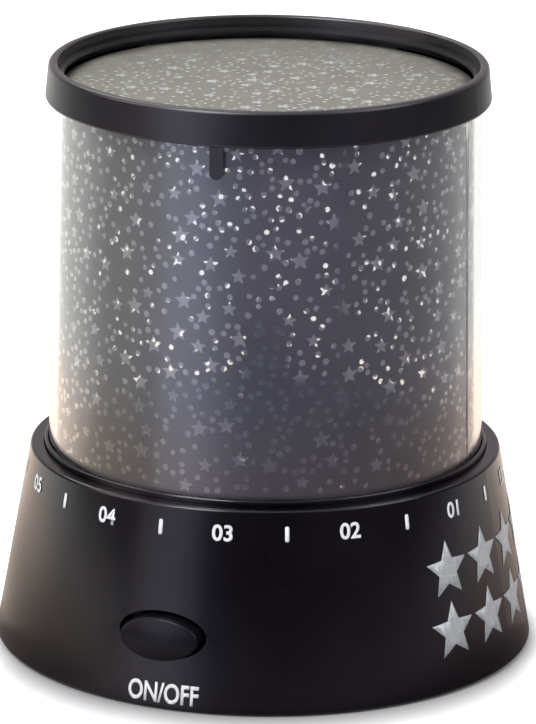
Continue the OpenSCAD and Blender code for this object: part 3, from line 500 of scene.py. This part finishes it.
# Open-cell foam: matt, pitted by its cut cells
def cutFoam(name, v):
    material, tree, place = startMaterial(name)
    cells = addNode(tree, "ShaderNodeTexVoronoi", {"Vector": place, "Scale": 1 / (v["cell"] * mm)})
    tone = addNode(tree, "ShaderNodeValToRGB", {"Fac": cells}, [(0.1, v["colour"]), (0.6, v["paler"])])
    bump = addNode(tree, "ShaderNodeBump", {
        "Height": cells, "Strength": 0.8, "Distance": v["cell"] * v["depth"] * mm})
    shader = addNode(tree, "ShaderNodeBsdfPrincipled", {
        "Base Color": tone, "Roughness": 0.95, "Normal": bump})
    return finishMaterial(material, shader)


# The real grain of the mould is about 0.05 mm; it is drawn at 0.3 mm so that it shows. A depth is a
# share of the grain
blackSkin = {
    "colour": "#070409", "paler": "#0a060c", "flow": 14, "speck": 0.9, "dust": 0.03, "roughness": 0.17,
    "spread": 0.02, "grain": 0.3, "grainStrength": 0.15, "depth": 0.12, "ior": 1.5,
    "dustColour": "#8d8a88",
}
brightTin = {
    "colour": "#b9bcc0", "paler": "#d3d6da", "roughness": 0.28, "glossier": 0.06, "duller": 0.08,
    "grain": 0.2, "depth": 0.05, "stretch": (1, 1, 0.15),
}
plating = {**brightTin, "stretch": (1, 1, 1)}
epoxy = {"ior": 1.54, "roughness": 0.02, "ripple": 3, "rippleStrength": 0.1}
polyester = {
    "colour": "#f8f9f9", "paler": "#fdfdfd", "ior": 1.6, "skins": 1.9, "roughness": 0.08, "haze": 9,
    "milk": 0,
}


# The black skin with changes
def plastic(name, **changes):
    return mouldedPlastic(name, {**blackSkin, **changes})


# By the names of the materials in the frame
finishes = {
    "black_abs": plastic("blackMouldedAbs"),
    "black_plate": plastic(
        "blackPlateAbs", roughness=0.42, grain=0.4, grainStrength=0.4, colour="#131216", paler="#1a191e"),
    "zinc_screw": platedMetal("zincPlatedSteel", {**plating, "colour": "#9da0a3", "paler": "#bfc1bf"}),
    "foot_rubber": plastic(
        "greyRubber", roughness=0.7, grain=0.35, grainStrength=0.6, colour="#232324", paler="#2d2d2e",
        dust=0.2),
    "white_led": clearMoulding("waterClearEpoxy", {**epoxy, "colour": "#f7f8fa"}),
    "amber_led": clearMoulding("amberEpoxy", {**epoxy, "colour": "#ffd79a"}),
    "tinned_lead": platedMetal("tinnedCopper", brightTin),
    "circuit_board": circuitBoard("greenSolderMask", {
        "colour": "#164a2c", "paler": "#2a6d43", "track": 3.2, "roughness": 0.3}),
    "resistor": plastic("resistorLacquer", colour="#b9935e", paler="#cda973", roughness=0.45, grain=0.2),
    "capacitor": plastic("capacitorSleeve", colour="#1d2a47", paler="#27375c", roughness=0.35),
    "chip": plastic("chipEpoxy", colour="#151517", paler="#1c1c1f", roughness=0.55, grain=0.15),
    "switch_body": plastic("switchNylon", colour="#27272b", paler="#303035", roughness=0.45),
    "plunger": plastic("plungerAcetal", colour="#cfcfca", paler="#dcdcd7", roughness=0.35, dust=0.02),
    "jack_body": plastic("jackNylon", colour="#161618", paler="#1e1e21", roughness=0.4),
    "jack_pin": platedMetal("nickelPlatedBrass", {
        **brightTin, "colour": "#b4b0a4", "paler": "#cdc9bd", "stretch": (0.15, 1, 1)}),
    "spring_steel": platedMetal("nickelPlatedSpringSteel", {
        **plating, "colour": "#b2b4b6", "paler": "#cfd1d2"}),
    "clear_styrene": clearMoulding("clearPolystyrene", {
        "colour": "#fbfdfc", "ior": 1.58, "roughness": 0.015, "ripple": 16, "rippleStrength": 0.2,
        "plateFrom": 115.4}),
    "star_film": inkedFilm("translucentInkOnPolyester", {
        "colour": "#5d5b67", "paler": "#676571", "roughness": 0.36, "spread": 0.04, "cloud": 9,
        "through": 1}),
    "window_film": bareFilm("barePolyester", polyester),
    "button_black": plastic(
        "buttonAbs", colour="#0f0d13", paler="#15131a", roughness=0.24, flow=5, ior=1.24),
    "grey_foam": cutFoam("greyFoam", {
        "colour": "#2f2f30", "paler": "#565658", "cell": 0.5, "depth": 0.5}),
}
for sheath, colour, paler in (
        ("red", "#9f1d17", "#b52a22"), ("black", "#141414", "#1d1d1d"),
        ("yellow", "#c9ae27", "#d8c043"), ("blue", "#2c509a", "#3b62ae")):
    finishes[sheath + "_lead"] = plastic(
        sheath + "PvcSheath", colour=colour, paler=paler, roughness=0.38, grainStrength=0.1)
cellSleeve = {
    "colour": "#2c5e3c", "paler": "#397449", "steel": "#b6b8ba", "roughness": 0.32, "wrinkle": 2.2}
# Part of this ink's pale tone is painted light, making up for the ring's shade over the disc
discInkWithPaintedLight = inkedFilm("greyInkWithPaintedLight", {
    "colour": "#978f87", "paler": "#a19991", "roughness": 0.4, "spread": 0.04, "cloud": 9, "through": 0.3})
discWindow = bareFilm("satinPolyester", {**polyester, "roughness": 0.2, "milk": 0.42})
satinRing = plastic(
    "satinMouldedAbs", roughness=0.3, spread=0.03, ior=1.65, colour="#0e0d12", paler="#121016")
whiteInk = printedInk("whiteScreenInk", {
    "colour": "#d8d9dd", "paler": "#eceef1", "mottle": 0.6, "roughness": 0.5, "metallic": 0})
silverInk = printedInk("silverScreenInk", {
    "colour": "#a3a7ab", "paler": "#c2c6c9", "mottle": 0.45, "roughness": 0.42, "metallic": 0.25})

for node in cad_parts.values():
    for slot in node.material_slots:
        slot.material = finishes.get(slot.material.name.split(".")[0], slot.material)
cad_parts["top_ring"].material_slots[0].material = satinRing

# What a cell's sleeve leaves bare at its two ends along X. The end with the nub shows more
cellEnds = {1: (1, 1.7), 2: (1.7, 1), 3: (1, 1.7)}
for index, (lowEnd, highEnd) in cellEnds.items():
    nodeName = "battery_cell_%d" % index
    low, high = (corner.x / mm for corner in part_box(nodeName))
    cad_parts[nodeName].material_slots[0].material = sleevedCell(
        "greenPvcSleeve%d" % index, cellSleeve, low + lowEnd, high - highEnd)
print("materials made")

# Windows in the ink of the sleeve and of the disc, whose print is finer. The disc is seen at a flat
# angle, so its sheet is drawn thin enough for a ray to leave through the window that it came in by
sleevePrint = {
    "margin": 0.3, "starPitch": 4.3, "starDensity": 27000.0, "dotPitch": 1.4, "dotDensity": 300000.0,
    "starSize": 2.05, "starWaist": 0.45, "dotSize": 0.62, "clearance": 2.4, "seed": 7, "thickness": 0.25,
}
discPrint = {
    **sleevePrint, "starPitch": 4, "dotPitch": 1.3, "starSize": 1.85, "starWaist": 0.46, "dotSize": 0.47,
    "clearance": 2.1, "seed": 11, "thickness": 0.05, "gap": 0.05, "corners": 144,
}
# How the copies of a star and of a dot differ, in degrees and as shares of their size
windowShape = {
    "starPoints": 5, "dotCorners": 10, "starTurn": (84, 96), "starScale": (0.72, 1.04),
    "dotScale": (0.84, 1.12),
}
# The cover's inner side, against which the sleeve lies. The grid lets the flat print follow it
sleeve = {
    "footRadius": 42.9, "topRadius": 41.4, "footZ": 38.5, "topZ": 117, "gap": 0.05, "seam": 0.1,
    "gridPitch": 2.4,
}


# A filled star. Its waist is the inner radius as a share of the outer one
def addStar(tree, size, waist, mode):
    inner = addNode(tree, "ShaderNodeMath", {0: size, 1: waist}, operation="MULTIPLY")
    outline = addNode(tree, "GeometryNodeCurveStar", {
        "Points": windowShape["starPoints"], "Outer Radius": size, "Inner Radius": inner})
    return addNode(tree, "GeometryNodeFillCurve", {"Curve": outline}, mode=mode)


# Scatters star and dot outlines over a flat sheet: the windows in the film's ink
def windowTree():
    tree, given = startTree("filmWindows", {
        "Star Pitch": 1.0, "Star Density": 1.0, "Dot Pitch": 1.0, "Dot Density": 1.0, "Star Size": 1.0,
        "Star Waist": 0.5, "Dot Size": 1.0, "Clearance": 1.0, "Seed": 1, "Window": None})
    stars, dots = (
        addNode(tree, "GeometryNodeDistributePointsOnFaces", {
            "Mesh": given["Geometry"], "Distance Min": given[kind + " Pitch"],
            "Density Max": given[kind + " Density"], "Seed": given["Seed"]}, distribute_method="POISSON")
        for kind in ("Star", "Dot"))
    nearest = addNode(tree, "GeometryNodeProximity", {"Geometry": stars}, target_element="POINTS")
    crowded = addNode(tree, "FunctionNodeCompare", {
        0: nearest.outputs["Distance"], 1: given["Clearance"]}, operation="LESS_THAN")
    free = addNode(tree, "GeometryNodeDeleteGeometry", {"Geometry": dots, "Selection": crowded})
    star = addStar(tree, given["Star Size"], given["Star Waist"], "NGONS")
    dot = addNode(tree, "GeometryNodeMeshCircle", {
        "Vertices": windowShape["dotCorners"], "Radius": given["Dot Size"]}, fill_type="NGON")
    starTurn = [math.radians(angle) for angle in windowShape["starTurn"]]
    tilt, starScale, dotScale = (
        addNode(tree, "FunctionNodeRandomValue", {2: low, 3: high, "Seed": given["Seed"]})
        for low, high in (starTurn, windowShape["starScale"], windowShape["dotScale"]))
    turn = addNode(tree, "ShaderNodeCombineXYZ", {"Z": tilt})
    starCopies = addNode(tree, "GeometryNodeInstanceOnPoints", {
        "Points": stars, "Instance": star, "Rotation": turn, "Scale": starScale})
    dotCopies = addNode(tree, "GeometryNodeInstanceOnPoints", {
        "Points": free, "Instance": dot, "Scale": dotScale})
    both = addNode(tree, "GeometryNodeJoinGeometry", {"Geometry": starCopies})
    tree.links.new(dotCopies.outputs[0], both.inputs[0])
    return finishTree(tree, both, given["Window"])


# Window outlines on a flat sheet with the given edge, in millimetres
def windowOutlines(tree, edge, v):
    mesh = bpy.data.meshes.new("sheet")
    mesh.from_pydata([(x * mm, y * mm, 0) for x, y in edge], [], [range(len(edge))])
    made = runTree("sheet", tree, {
        "Star Pitch": v["starPitch"] * mm, "Star Density": v["starDensity"],
        "Dot Pitch": v["dotPitch"] * mm, "Dot Density": v["dotDensity"],
        "Star Size": v["starSize"] * mm, "Star Waist": v["starWaist"], "Dot Size": v["dotSize"] * mm,
        "Clearance": v["clearance"] * mm, "Seed": v["seed"], "Window": finishes["window_film"]}, mesh)
    return [[tuple(made.vertices[i].co.xy / mm) for i in face.vertices] for face in made.polygons]


# One flat triangle mesh of the whole sheet, which says of each triangle whether it is a window
def cutSheet(edge, outlines, gridPoints):
    points = [Vector(p) for p in edge]
    lines = [(i, (i + 1) % len(edge)) for i in range(len(edge))]
    faces = []
    for outline in outlines:
        faces.append(list(range(len(points), len(points) + len(outline))))
        points += [Vector(p) for p in outline]
    points += [Vector(p) for p in gridPoints]
    points, _, triangles, _, _, origins = delaunay_2d_cdt(points, lines, faces, 0, 1e-5)
    return points, triangles, [bool(origin) for origin in origins]


# Gives a piece its thickness, half of it on each side, or all of it outside where the offset is 1
def thicken(piece, thickness, offset):
    solid = piece.modifiers.new("thickness", "SOLIDIFY")
    solid.thickness = thickness * mm
    solid.offset = offset
    flat = piece.data
    piece.data = madeMesh(piece)
    piece.modifiers.clear()
    bpy.data.meshes.remove(flat)


# Rolls or lays the sheet, gives it its thickness and makes it a piece in two finishes
def filmPiece(name, nodeName, sheet, place, thickness, materials):
    points, triangles, windows = sheet
    piece = addMesh(name, [place(p) for p in points], triangles, materials, sharp=None)
    piece.data.polygons.foreach_set("material_index", [int(w) for w in windows])
    thicken(piece, thickness, 0)
    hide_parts(nodeName)
    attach(piece, "shade")


# How many windows of each kind there are: a dot is no wider than its largest copy
def counted(outlines, v):
    widestDot = 2.01 * windowShape["dotScale"][1] * v["dotSize"]
    dots = sum(max(abs(p[0] - outline[0][0]) for p in outline) < widestDot for outline in outlines)
    return "%d dots and %d stars" % (dots, len(outlines) - dots)


# Radius at height z of a wall that tapers from its foot to its top
def taperRadius(v, z):
    share = (z - v["footZ"]) / (v["topZ"] - v["footZ"])
    return v["footRadius"] + (v["topRadius"] - v["footRadius"]) * share


# Radius of the sleeve's middle at height z
def sleeveRadius(z):
    return taperRadius(sleeve, z) - sleeve["gap"] - sleevePrint["thickness"] / 2


def addSleeve(tree):
    low, high = (corner.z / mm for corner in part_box("star_film"))
    middle = sleeveRadius((low + high) / 2)
    half = math.radians(180 - sleeve["seam"] / 2) * middle
    rows = round((high - low) / sleeve["gridPitch"])
    columns = round(2 * half / sleeve["gridPitch"])
    across = [-half + 2 * half * i / columns for i in range(columns + 1)]
    up = [low + (high - low) * i / rows for i in range(rows + 1)]
    edge = [(x, low) for x in across] + [(half, z) for z in up[1:]]
    edge += [(x, high) for x in across[-2::-1]] + [(-half, z) for z in up[-2:0:-1]]
    grid = [(x, z) for x in across[1:-1] for z in up[1:-1]]
    m = sleevePrint["margin"] + sleevePrint["starSize"]
    printed = [(-half + m, low + m), (half - m, low + m), (half - m, high - m), (-half + m, high - m)]
    outlines = windowOutlines(tree, printed, sleevePrint)

    def roll(p):
        angle = p[0] / middle
        radius = sleeveRadius(p[1])
        return radius * math.sin(angle) * mm, -radius * math.cos(angle) * mm, p[1] * mm

    filmPiece("starSleeve", "star_film", cutSheet(edge, outlines, grid), roll, sleevePrint["thickness"],
              (finishes["star_film"], finishes["window_film"]))
    print("star sleeve:", counted(outlines, sleevePrint))


def addDisc(tree):
    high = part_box("top_star_film")[1] / mm
    radius = high.x
    height = high.z - discPrint["gap"] - discPrint["thickness"] / 2
    turns = [math.tau * i / discPrint["corners"] for i in range(discPrint["corners"])]
    edge = [(radius * math.cos(a), radius * math.sin(a)) for a in turns]
    inset = 1 - (discPrint["margin"] + discPrint["starSize"]) / radius
    outlines = windowOutlines(tree, [(x * inset, y * inset) for x, y in edge], discPrint)
    sheet = cutSheet(edge, outlines, [])
    filmPiece("starDisc", "top_star_film", sheet, lambda p: (p[0] * mm, p[1] * mm, height * mm),
              discPrint["thickness"], (discInkWithPaintedLight, discWindow))
    print("star disc:", counted(outlines, discPrint))


filmTree = windowTree()
addSleeve(filmTree)
addDisc(filmTree)

# The base's outer wall, and the ink on it. A drawing bends round the wall in strips of that width
wall = {"footRadius": 55, "topRadius": 48.1, "footZ": 0.6, "topZ": 40.5}
inkCoat = {"lift": 0.02, "thickness": 0.03, "strip": 1.5, "weld": 1e-4}
font = {"capital": 0.7, "weld": 1e-5, "bluntest": 0.6}  # at size 1, where a capital is 0.7 high
dial = {
    "height": 36, "turn": -2.1, "months": 12, "tickWidth": 0.85, "tickHeight": 3.1, "tickCorner": 0.36,
    "figureHeight": 3.3, "figureWeight": 0.12, "firstFigure": 75,
}
switchWord = {
    "words": "ON/OFF", "bearing": 1.3, "height": 3.5, "figureHeight": 4.1, "width": 15, "weight": 0.14}
starPrint = {
    "bearing": 89.6, "columns": 4, "rows": 2, "columnPitch": 12.6, "rowPitch": 12.4, "height": 18.4,
    "size": 6.1, "waist": 0.45,
}


# Cuts a flat drawing into upright strips, so that it can bend round the base
def cutStrips(mesh):
    drawing = bmesh.new()
    drawing.from_mesh(mesh)
    bmesh.ops.remove_doubles(drawing, verts=drawing.verts, dist=inkCoat["weld"] * mm)
    step = inkCoat["strip"] * mm
    left = min(p.co.x for p in drawing.verts)
    right = max(p.co.x for p in drawing.verts)
    for i in range(int(left / step) - 1, int(right / step) + 2):
        bmesh.ops.bisect_plane(
            drawing, geom=drawing.verts[:] + drawing.edges[:] + drawing.faces[:], plane_co=(i * step, 0, 0),
            plane_no=(1, 0, 0))
    drawing.to_mesh(mesh)
    drawing.free()


# Lays a flat drawing on the base: x runs round it, y up its slope. It becomes a thin coat of ink
def inkPiece(name, mesh, ink, bearing, height):
    cutStrips(mesh)
    slope = math.atan2(wall["footRadius"] - wall["topRadius"], wall["topZ"] - wall["footZ"])
    around = taperRadius(wall, height)
    for point in mesh.vertices:
        x, y, _ = point.co / mm
        z = height + y * math.cos(slope)
        radius = taperRadius(wall, z) + inkCoat["lift"] * math.cos(slope)
        angle = math.radians(bearing) + x / around
        z += inkCoat["lift"] * math.sin(slope)
        point.co = Vector((radius * math.sin(angle), -radius * math.cos(angle), z)) * mm
    mesh.materials.clear()
    mesh.materials.append(ink)
    mesh.shade_smooth()
    piece = addObject(name, mesh)
    thicken(piece, inkCoat["thickness"], 1)
    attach(piece, "base")


# Moves the rim of a flat drawing outwards, so that its strokes grow bolder
def embolden(mesh, weight):
    drawing = bmesh.new()
    drawing.from_mesh(mesh)
    bmesh.ops.remove_doubles(drawing, verts=drawing.verts, dist=font["weld"])
    moves = []
    for point in drawing.verts:
        sides = []
        for edge in point.link_edges:
            if len(edge.link_faces) == 1:
                along = (edge.verts[1].co - edge.verts[0].co).normalized()
                side = Vector((along.y, -along.x, 0))
                inwards = edge.link_faces[0].calc_center_median() - edge.verts[0].co
                sides.append(-side if inwards.dot(side) > 0 else side)
        if len(sides) == 2 and (sides[0] + sides[1]).length > 0.1:
            middle = (sides[0] + sides[1]).normalized()
            corner = max(middle.dot(sides[0]), font["bluntest"])  # a sharp corner doesn't grow a spike
            moves.append((point, middle * weight / corner))
    for point, move in moves:
        point.co += move
    drawing.to_mesh(mesh)
    drawing.free()


# Flat mesh of a word or figure, centred on its own middle, at the given height of its capitals
def flatWord(words, capHeight, weight, width=None):
    curve = bpy.data.curves.new("word", "FONT")
    curve.body = words
    curve.size = 1
    curve.resolution_u = 6
    source = addObject("word", curve)
    mesh = madeMesh(source)
    bpy.data.objects.remove(source)
    embolden(mesh, weight / capHeight * font["capital"])
    lows = [min(p.co[axis] for p in mesh.vertices) for axis in (0, 1)]
    highs = [max(p.co[axis] for p in mesh.vertices) for axis in (0, 1)]
    scaleY = capHeight * mm / (highs[1] - lows[1])
    scaleX = width * mm / (highs[0] - lows[0]) if width else scaleY
    for point in mesh.vertices:
        point.co.x = (point.co.x - (lows[0] + highs[0]) / 2) * scaleX
        point.co.y = (point.co.y - (lows[1] + highs[1]) / 2) * scaleY
        point.co.z = 0
    return mesh


# The months' figures, one between each two ticks, on a flat strip from bearing -180 to 180
def figureStrip():
    strip = bmesh.new()
    around = taperRadius(wall, dial["height"])
    for month in range(dial["months"]):
        bearing = (dial["firstFigure"] + 180 - 360 / dial["months"] * month) % 360 - 180
        mesh = flatWord("%02d" % (month + 1), dial["figureHeight"], dial["figureWeight"])
        mesh.transform(Matrix.Translation((math.radians(bearing) * around * mm, 0, 0)))
        strip.from_mesh(mesh)
    mesh = bpy.data.meshes.new("figures")
    strip.to_mesh(mesh)
    strip.free()
    return mesh


# Bars with rounded ends, side by side on a flat strip
def tickTree():
    tree, given = startTree("dialTicks", {
        "Count": 12, "Pitch": 1.0, "Width": 1.0, "Height": 1.0, "Corner": 0.1, "Ink": None})
    last = addNode(tree, "ShaderNodeMath", {0: given["Count"], 1: -1}, operation="ADD")
    start = addNode(tree, "ShaderNodeMath", {0: last, 1: -0.5}, operation="MULTIPLY")
    startX = addNode(tree, "ShaderNodeMath", {0: start, 1: given["Pitch"]}, operation="MULTIPLY")
    first = addNode(tree, "ShaderNodeCombineXYZ", {"X": startX})
    step = addNode(tree, "ShaderNodeCombineXYZ", {"X": given["Pitch"]})
    row = addNode(tree, "GeometryNodeMeshLine", {
        "Count": given["Count"], "Start Location": first, "Offset": step})
    outline = addNode(tree, "GeometryNodeCurvePrimitiveQuadrilateral", {
        "Width": given["Width"], "Height": given["Height"]})
    rounded = addNode(tree, "GeometryNodeFilletCurve", {
        "Curve": outline, "Count": 5, "Radius": given["Corner"]}, mode="POLY")
    bar = addNode(tree, "GeometryNodeFillCurve", {"Curve": rounded}, mode="NGONS")
    bars = addNode(tree, "GeometryNodeInstanceOnPoints", {"Points": row, "Instance": bar})
    return finishTree(tree, bars, given["Ink"])


# Rows of plain five-pointed stars on a flat panel
def starRowsTree():
    tree, given = startTree("starRows", {
        "Columns": 4, "Rows": 2, "Width": 1.0, "Height": 1.0, "Size": 1.0, "Waist": 0.5, "Ink": None})
    grid = addNode(tree, "GeometryNodeMeshGrid", {
        "Size X": given["Width"], "Size Y": given["Height"],
        "Vertices X": given["Columns"], "Vertices Y": given["Rows"]})
    star = addStar(tree, given["Size"], given["Waist"], "TRIANGLES")
    upright = addNode(tree, "ShaderNodeCombineXYZ", {"Z": math.radians(90)})
    stars = addNode(tree, "GeometryNodeInstanceOnPoints", {
        "Points": grid, "Instance": star, "Rotation": upright})
    return finishTree(tree, stars, given["Ink"])


def addBasePrint():
    pitch = math.tau * taperRadius(wall, dial["height"]) / dial["months"]
    ticks = runTree("ticks", tickTree(), {
        "Count": dial["months"], "Pitch": pitch * mm, "Width": dial["tickWidth"] * mm,
        "Height": dial["tickHeight"] * mm, "Corner": dial["tickCorner"] * mm, "Ink": whiteInk})
    inkPiece("dialTicks", ticks, whiteInk, 180 / dial["months"] + dial["turn"], dial["height"])
    inkPiece("dialFigures", figureStrip(), whiteInk, dial["turn"], dial["height"])
    w = switchWord
    word = flatWord(w["words"], w["figureHeight"], w["weight"], w["width"])
    inkPiece("switchWord", word, whiteInk, w["bearing"], w["height"])
    s = starPrint
    rows = runTree("rows", starRowsTree(), {
        "Columns": s["columns"], "Rows": s["rows"], "Width": s["columnPitch"] * (s["columns"] - 1) * mm,
        "Height": s["rowPitch"] * (s["rows"] - 1) * mm, "Size": s["size"] * mm, "Waist": s["waist"],
        "Ink": silverInk})
    inkPiece("printedStars", rows, silverInk, s["bearing"], s["height"])
    print("base printed")


addBasePrint()

# Same sizes as the solid buttons, in finer rings
button = {
    "halfWidth": 8.3, "halfHeight": 4.2, "centreZ": 14.5, "proud": 2.1, "edge": 0.5, "dome": 0.4,
    "flangeWidth": 10.6, "flangeHeight": 6, "flangeZ": 14.8, "flangeOuter": 47.674,
    "flangeThickness": 1.2, "stemRadius": 2.2, "stemLength": 3, "corners": 144, "edgeSteps": 8,
    "domeSteps": 12,
}


# Closed skin over rings of points, with a middle point in each end
def loft(rings):
    count = len(rings[0])
    points = [p for ring in rings for p in ring]
    faces = []
    for k in range(len(rings) - 1):
        for i in range(count):
            j = (i + 1) % count
            faces.append((k * count + i, (k + 1) * count + i, (k + 1) * count + j, k * count + j))
    for k, forward in ((0, True), (len(rings) - 1, False)):
        middle = len(points)
        points.append(tuple(sum(p[axis] for p in rings[k]) / count for axis in range(3)))
        for i in range(count):
            pair = (k * count + i, k * count + (i + 1) % count)
            faces.append((*pair, middle) if forward else (*pair[::-1], middle))
    return points, faces


# Several lofts in one list of points and one of faces
def joinLofts(parts):
    points, faces = [], []
    for rings in parts:
        newPoints, newFaces = loft(rings)
        faces += [tuple(i + len(points) for i in face) for face in newFaces]
        points += newPoints
    return points, faces


def addButton(name, nodeName, bodyName, turn):
    v = button
    angles = [math.tau * i / v["corners"] for i in range(v["corners"])]

    def flat(halfWidth, halfHeight, y, z):
        return [(halfWidth * math.cos(a), y, z + halfHeight * math.sin(a)) for a in angles]

    def onWall(halfWidth, halfHeight, proud):
        ring = []
        for a in angles:
            x, z = halfWidth * math.cos(a), v["centreZ"] + halfHeight * math.sin(a)
            ring.append((x, -math.sqrt((taperRadius(wall, z) + proud) ** 2 - x * x), z))
        return ring

    wide, high, edge = v["halfWidth"], v["halfHeight"], v["edge"]
    inner = v["flangeOuter"] - v["flangeThickness"]
    face = [flat(wide, high, -v["flangeOuter"] + v["flangeThickness"] / 2, v["centreZ"])]
    for i in range(v["edgeSteps"] + 1):
        a = math.pi / 2 * i / v["edgeSteps"]
        inset = edge * (1 - math.cos(a))
        face.append(onWall(wide - inset, high - inset, v["proud"] - edge * (1 - math.sin(a))))
    for i in range(1, v["domeSteps"]):
        share = 1 - i / v["domeSteps"]
        proud = v["proud"] + v["dome"] * (1 - share * share)
        face.append(onWall((wide - edge) * share, (high - edge) * share, proud))
    flange = [flat(v["flangeWidth"], v["flangeHeight"], -y, v["flangeZ"])
              for y in (inner, v["flangeOuter"])]
    stem = [flat(v["stemRadius"], v["stemRadius"], -y, v["flangeZ"])
            for y in (inner - v["stemLength"], inner + v["flangeThickness"] / 2)]
    points, faces = joinLofts([ring[::-1] for ring in rings] for rings in (face, flange, stem))
    spin = Matrix.Rotation(math.radians(turn), 3, "Z")
    points = [spin @ Vector(p) * mm for p in points]
    piece = addMesh(name, points, faces, [finishes["button_black"]], sharp=40)
    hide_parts(nodeName)
    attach(piece, bodyName)


addButton("starPushButton", "star_button", "star_button", 0)
addButton("lampPushButton", "lamp_button", "lamp_button", 180)
print("buttons made")

# Rows of a post: middle, half width and height. Rows of the cup: radius and height over its foot
ledInside = {
    "cupPost": [(-1.27, 0.25, 0.05), (-1.27, 0.25, 1.2), (-0.25, 0.8, 2.1), (0, 0.7, 2.1)],
    "wirePost": [(1.27, 0.25, 0.05), (1.27, 0.25, 2), (1.22, 0.4, 2.6), (1.22, 0.2, 3.1)],
    "cup": [(0.3, 0), (0.75, 0), (0.95, 1.1), (0.83, 1.1), (0.45, 0.35), (0.1, 0.35)],
    "halfDepth": 0.25, "cupFoot": 2, "cupCorners": 32,
    "starZ": 66, "lampRadius": 24, "lampZ": 34, "lampTurns": (90, 210, 330),
}


# Reflector cup on one post, with the bond wire's post beside it, in every LED
def addLedInsides():
    v = ledInside
    spots = [Matrix.Translation((0, 0, v["starZ"]))]
    out = Matrix.Translation((v["lampRadius"], 0, v["lampZ"]))
    spots += [Matrix.Rotation(math.radians(turn), 4, "Z") @ out for turn in v["lampTurns"]]

    def square(x, half, z):
        d = v["halfDepth"]
        return [(x - half, -d, z), (x + half, -d, z), (x + half, d, z), (x - half, d, z)]

    turns = [math.tau * i / v["cupCorners"] for i in range(v["cupCorners"])]
    posts = [[square(*row) for row in v[post]] for post in ("cupPost", "wirePost")]
    cup = [[(r * math.cos(a), r * math.sin(a), v["cupFoot"] + z) for a in turns] for r, z in v["cup"]]
    onePoints, oneFaces = joinLofts([*posts, cup])
    points, faces = [], []
    for spot in spots:
        faces += [tuple(i + len(points) for i in face) for face in oneFaces]
        points += [spot @ Vector(p) * mm for p in onePoints]
    piece = addMesh("ledInsides", points, faces, [finishes["tinned_lead"]], sharp=35)
    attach(piece, "base")


addLedInsides()
print("LED insides made")
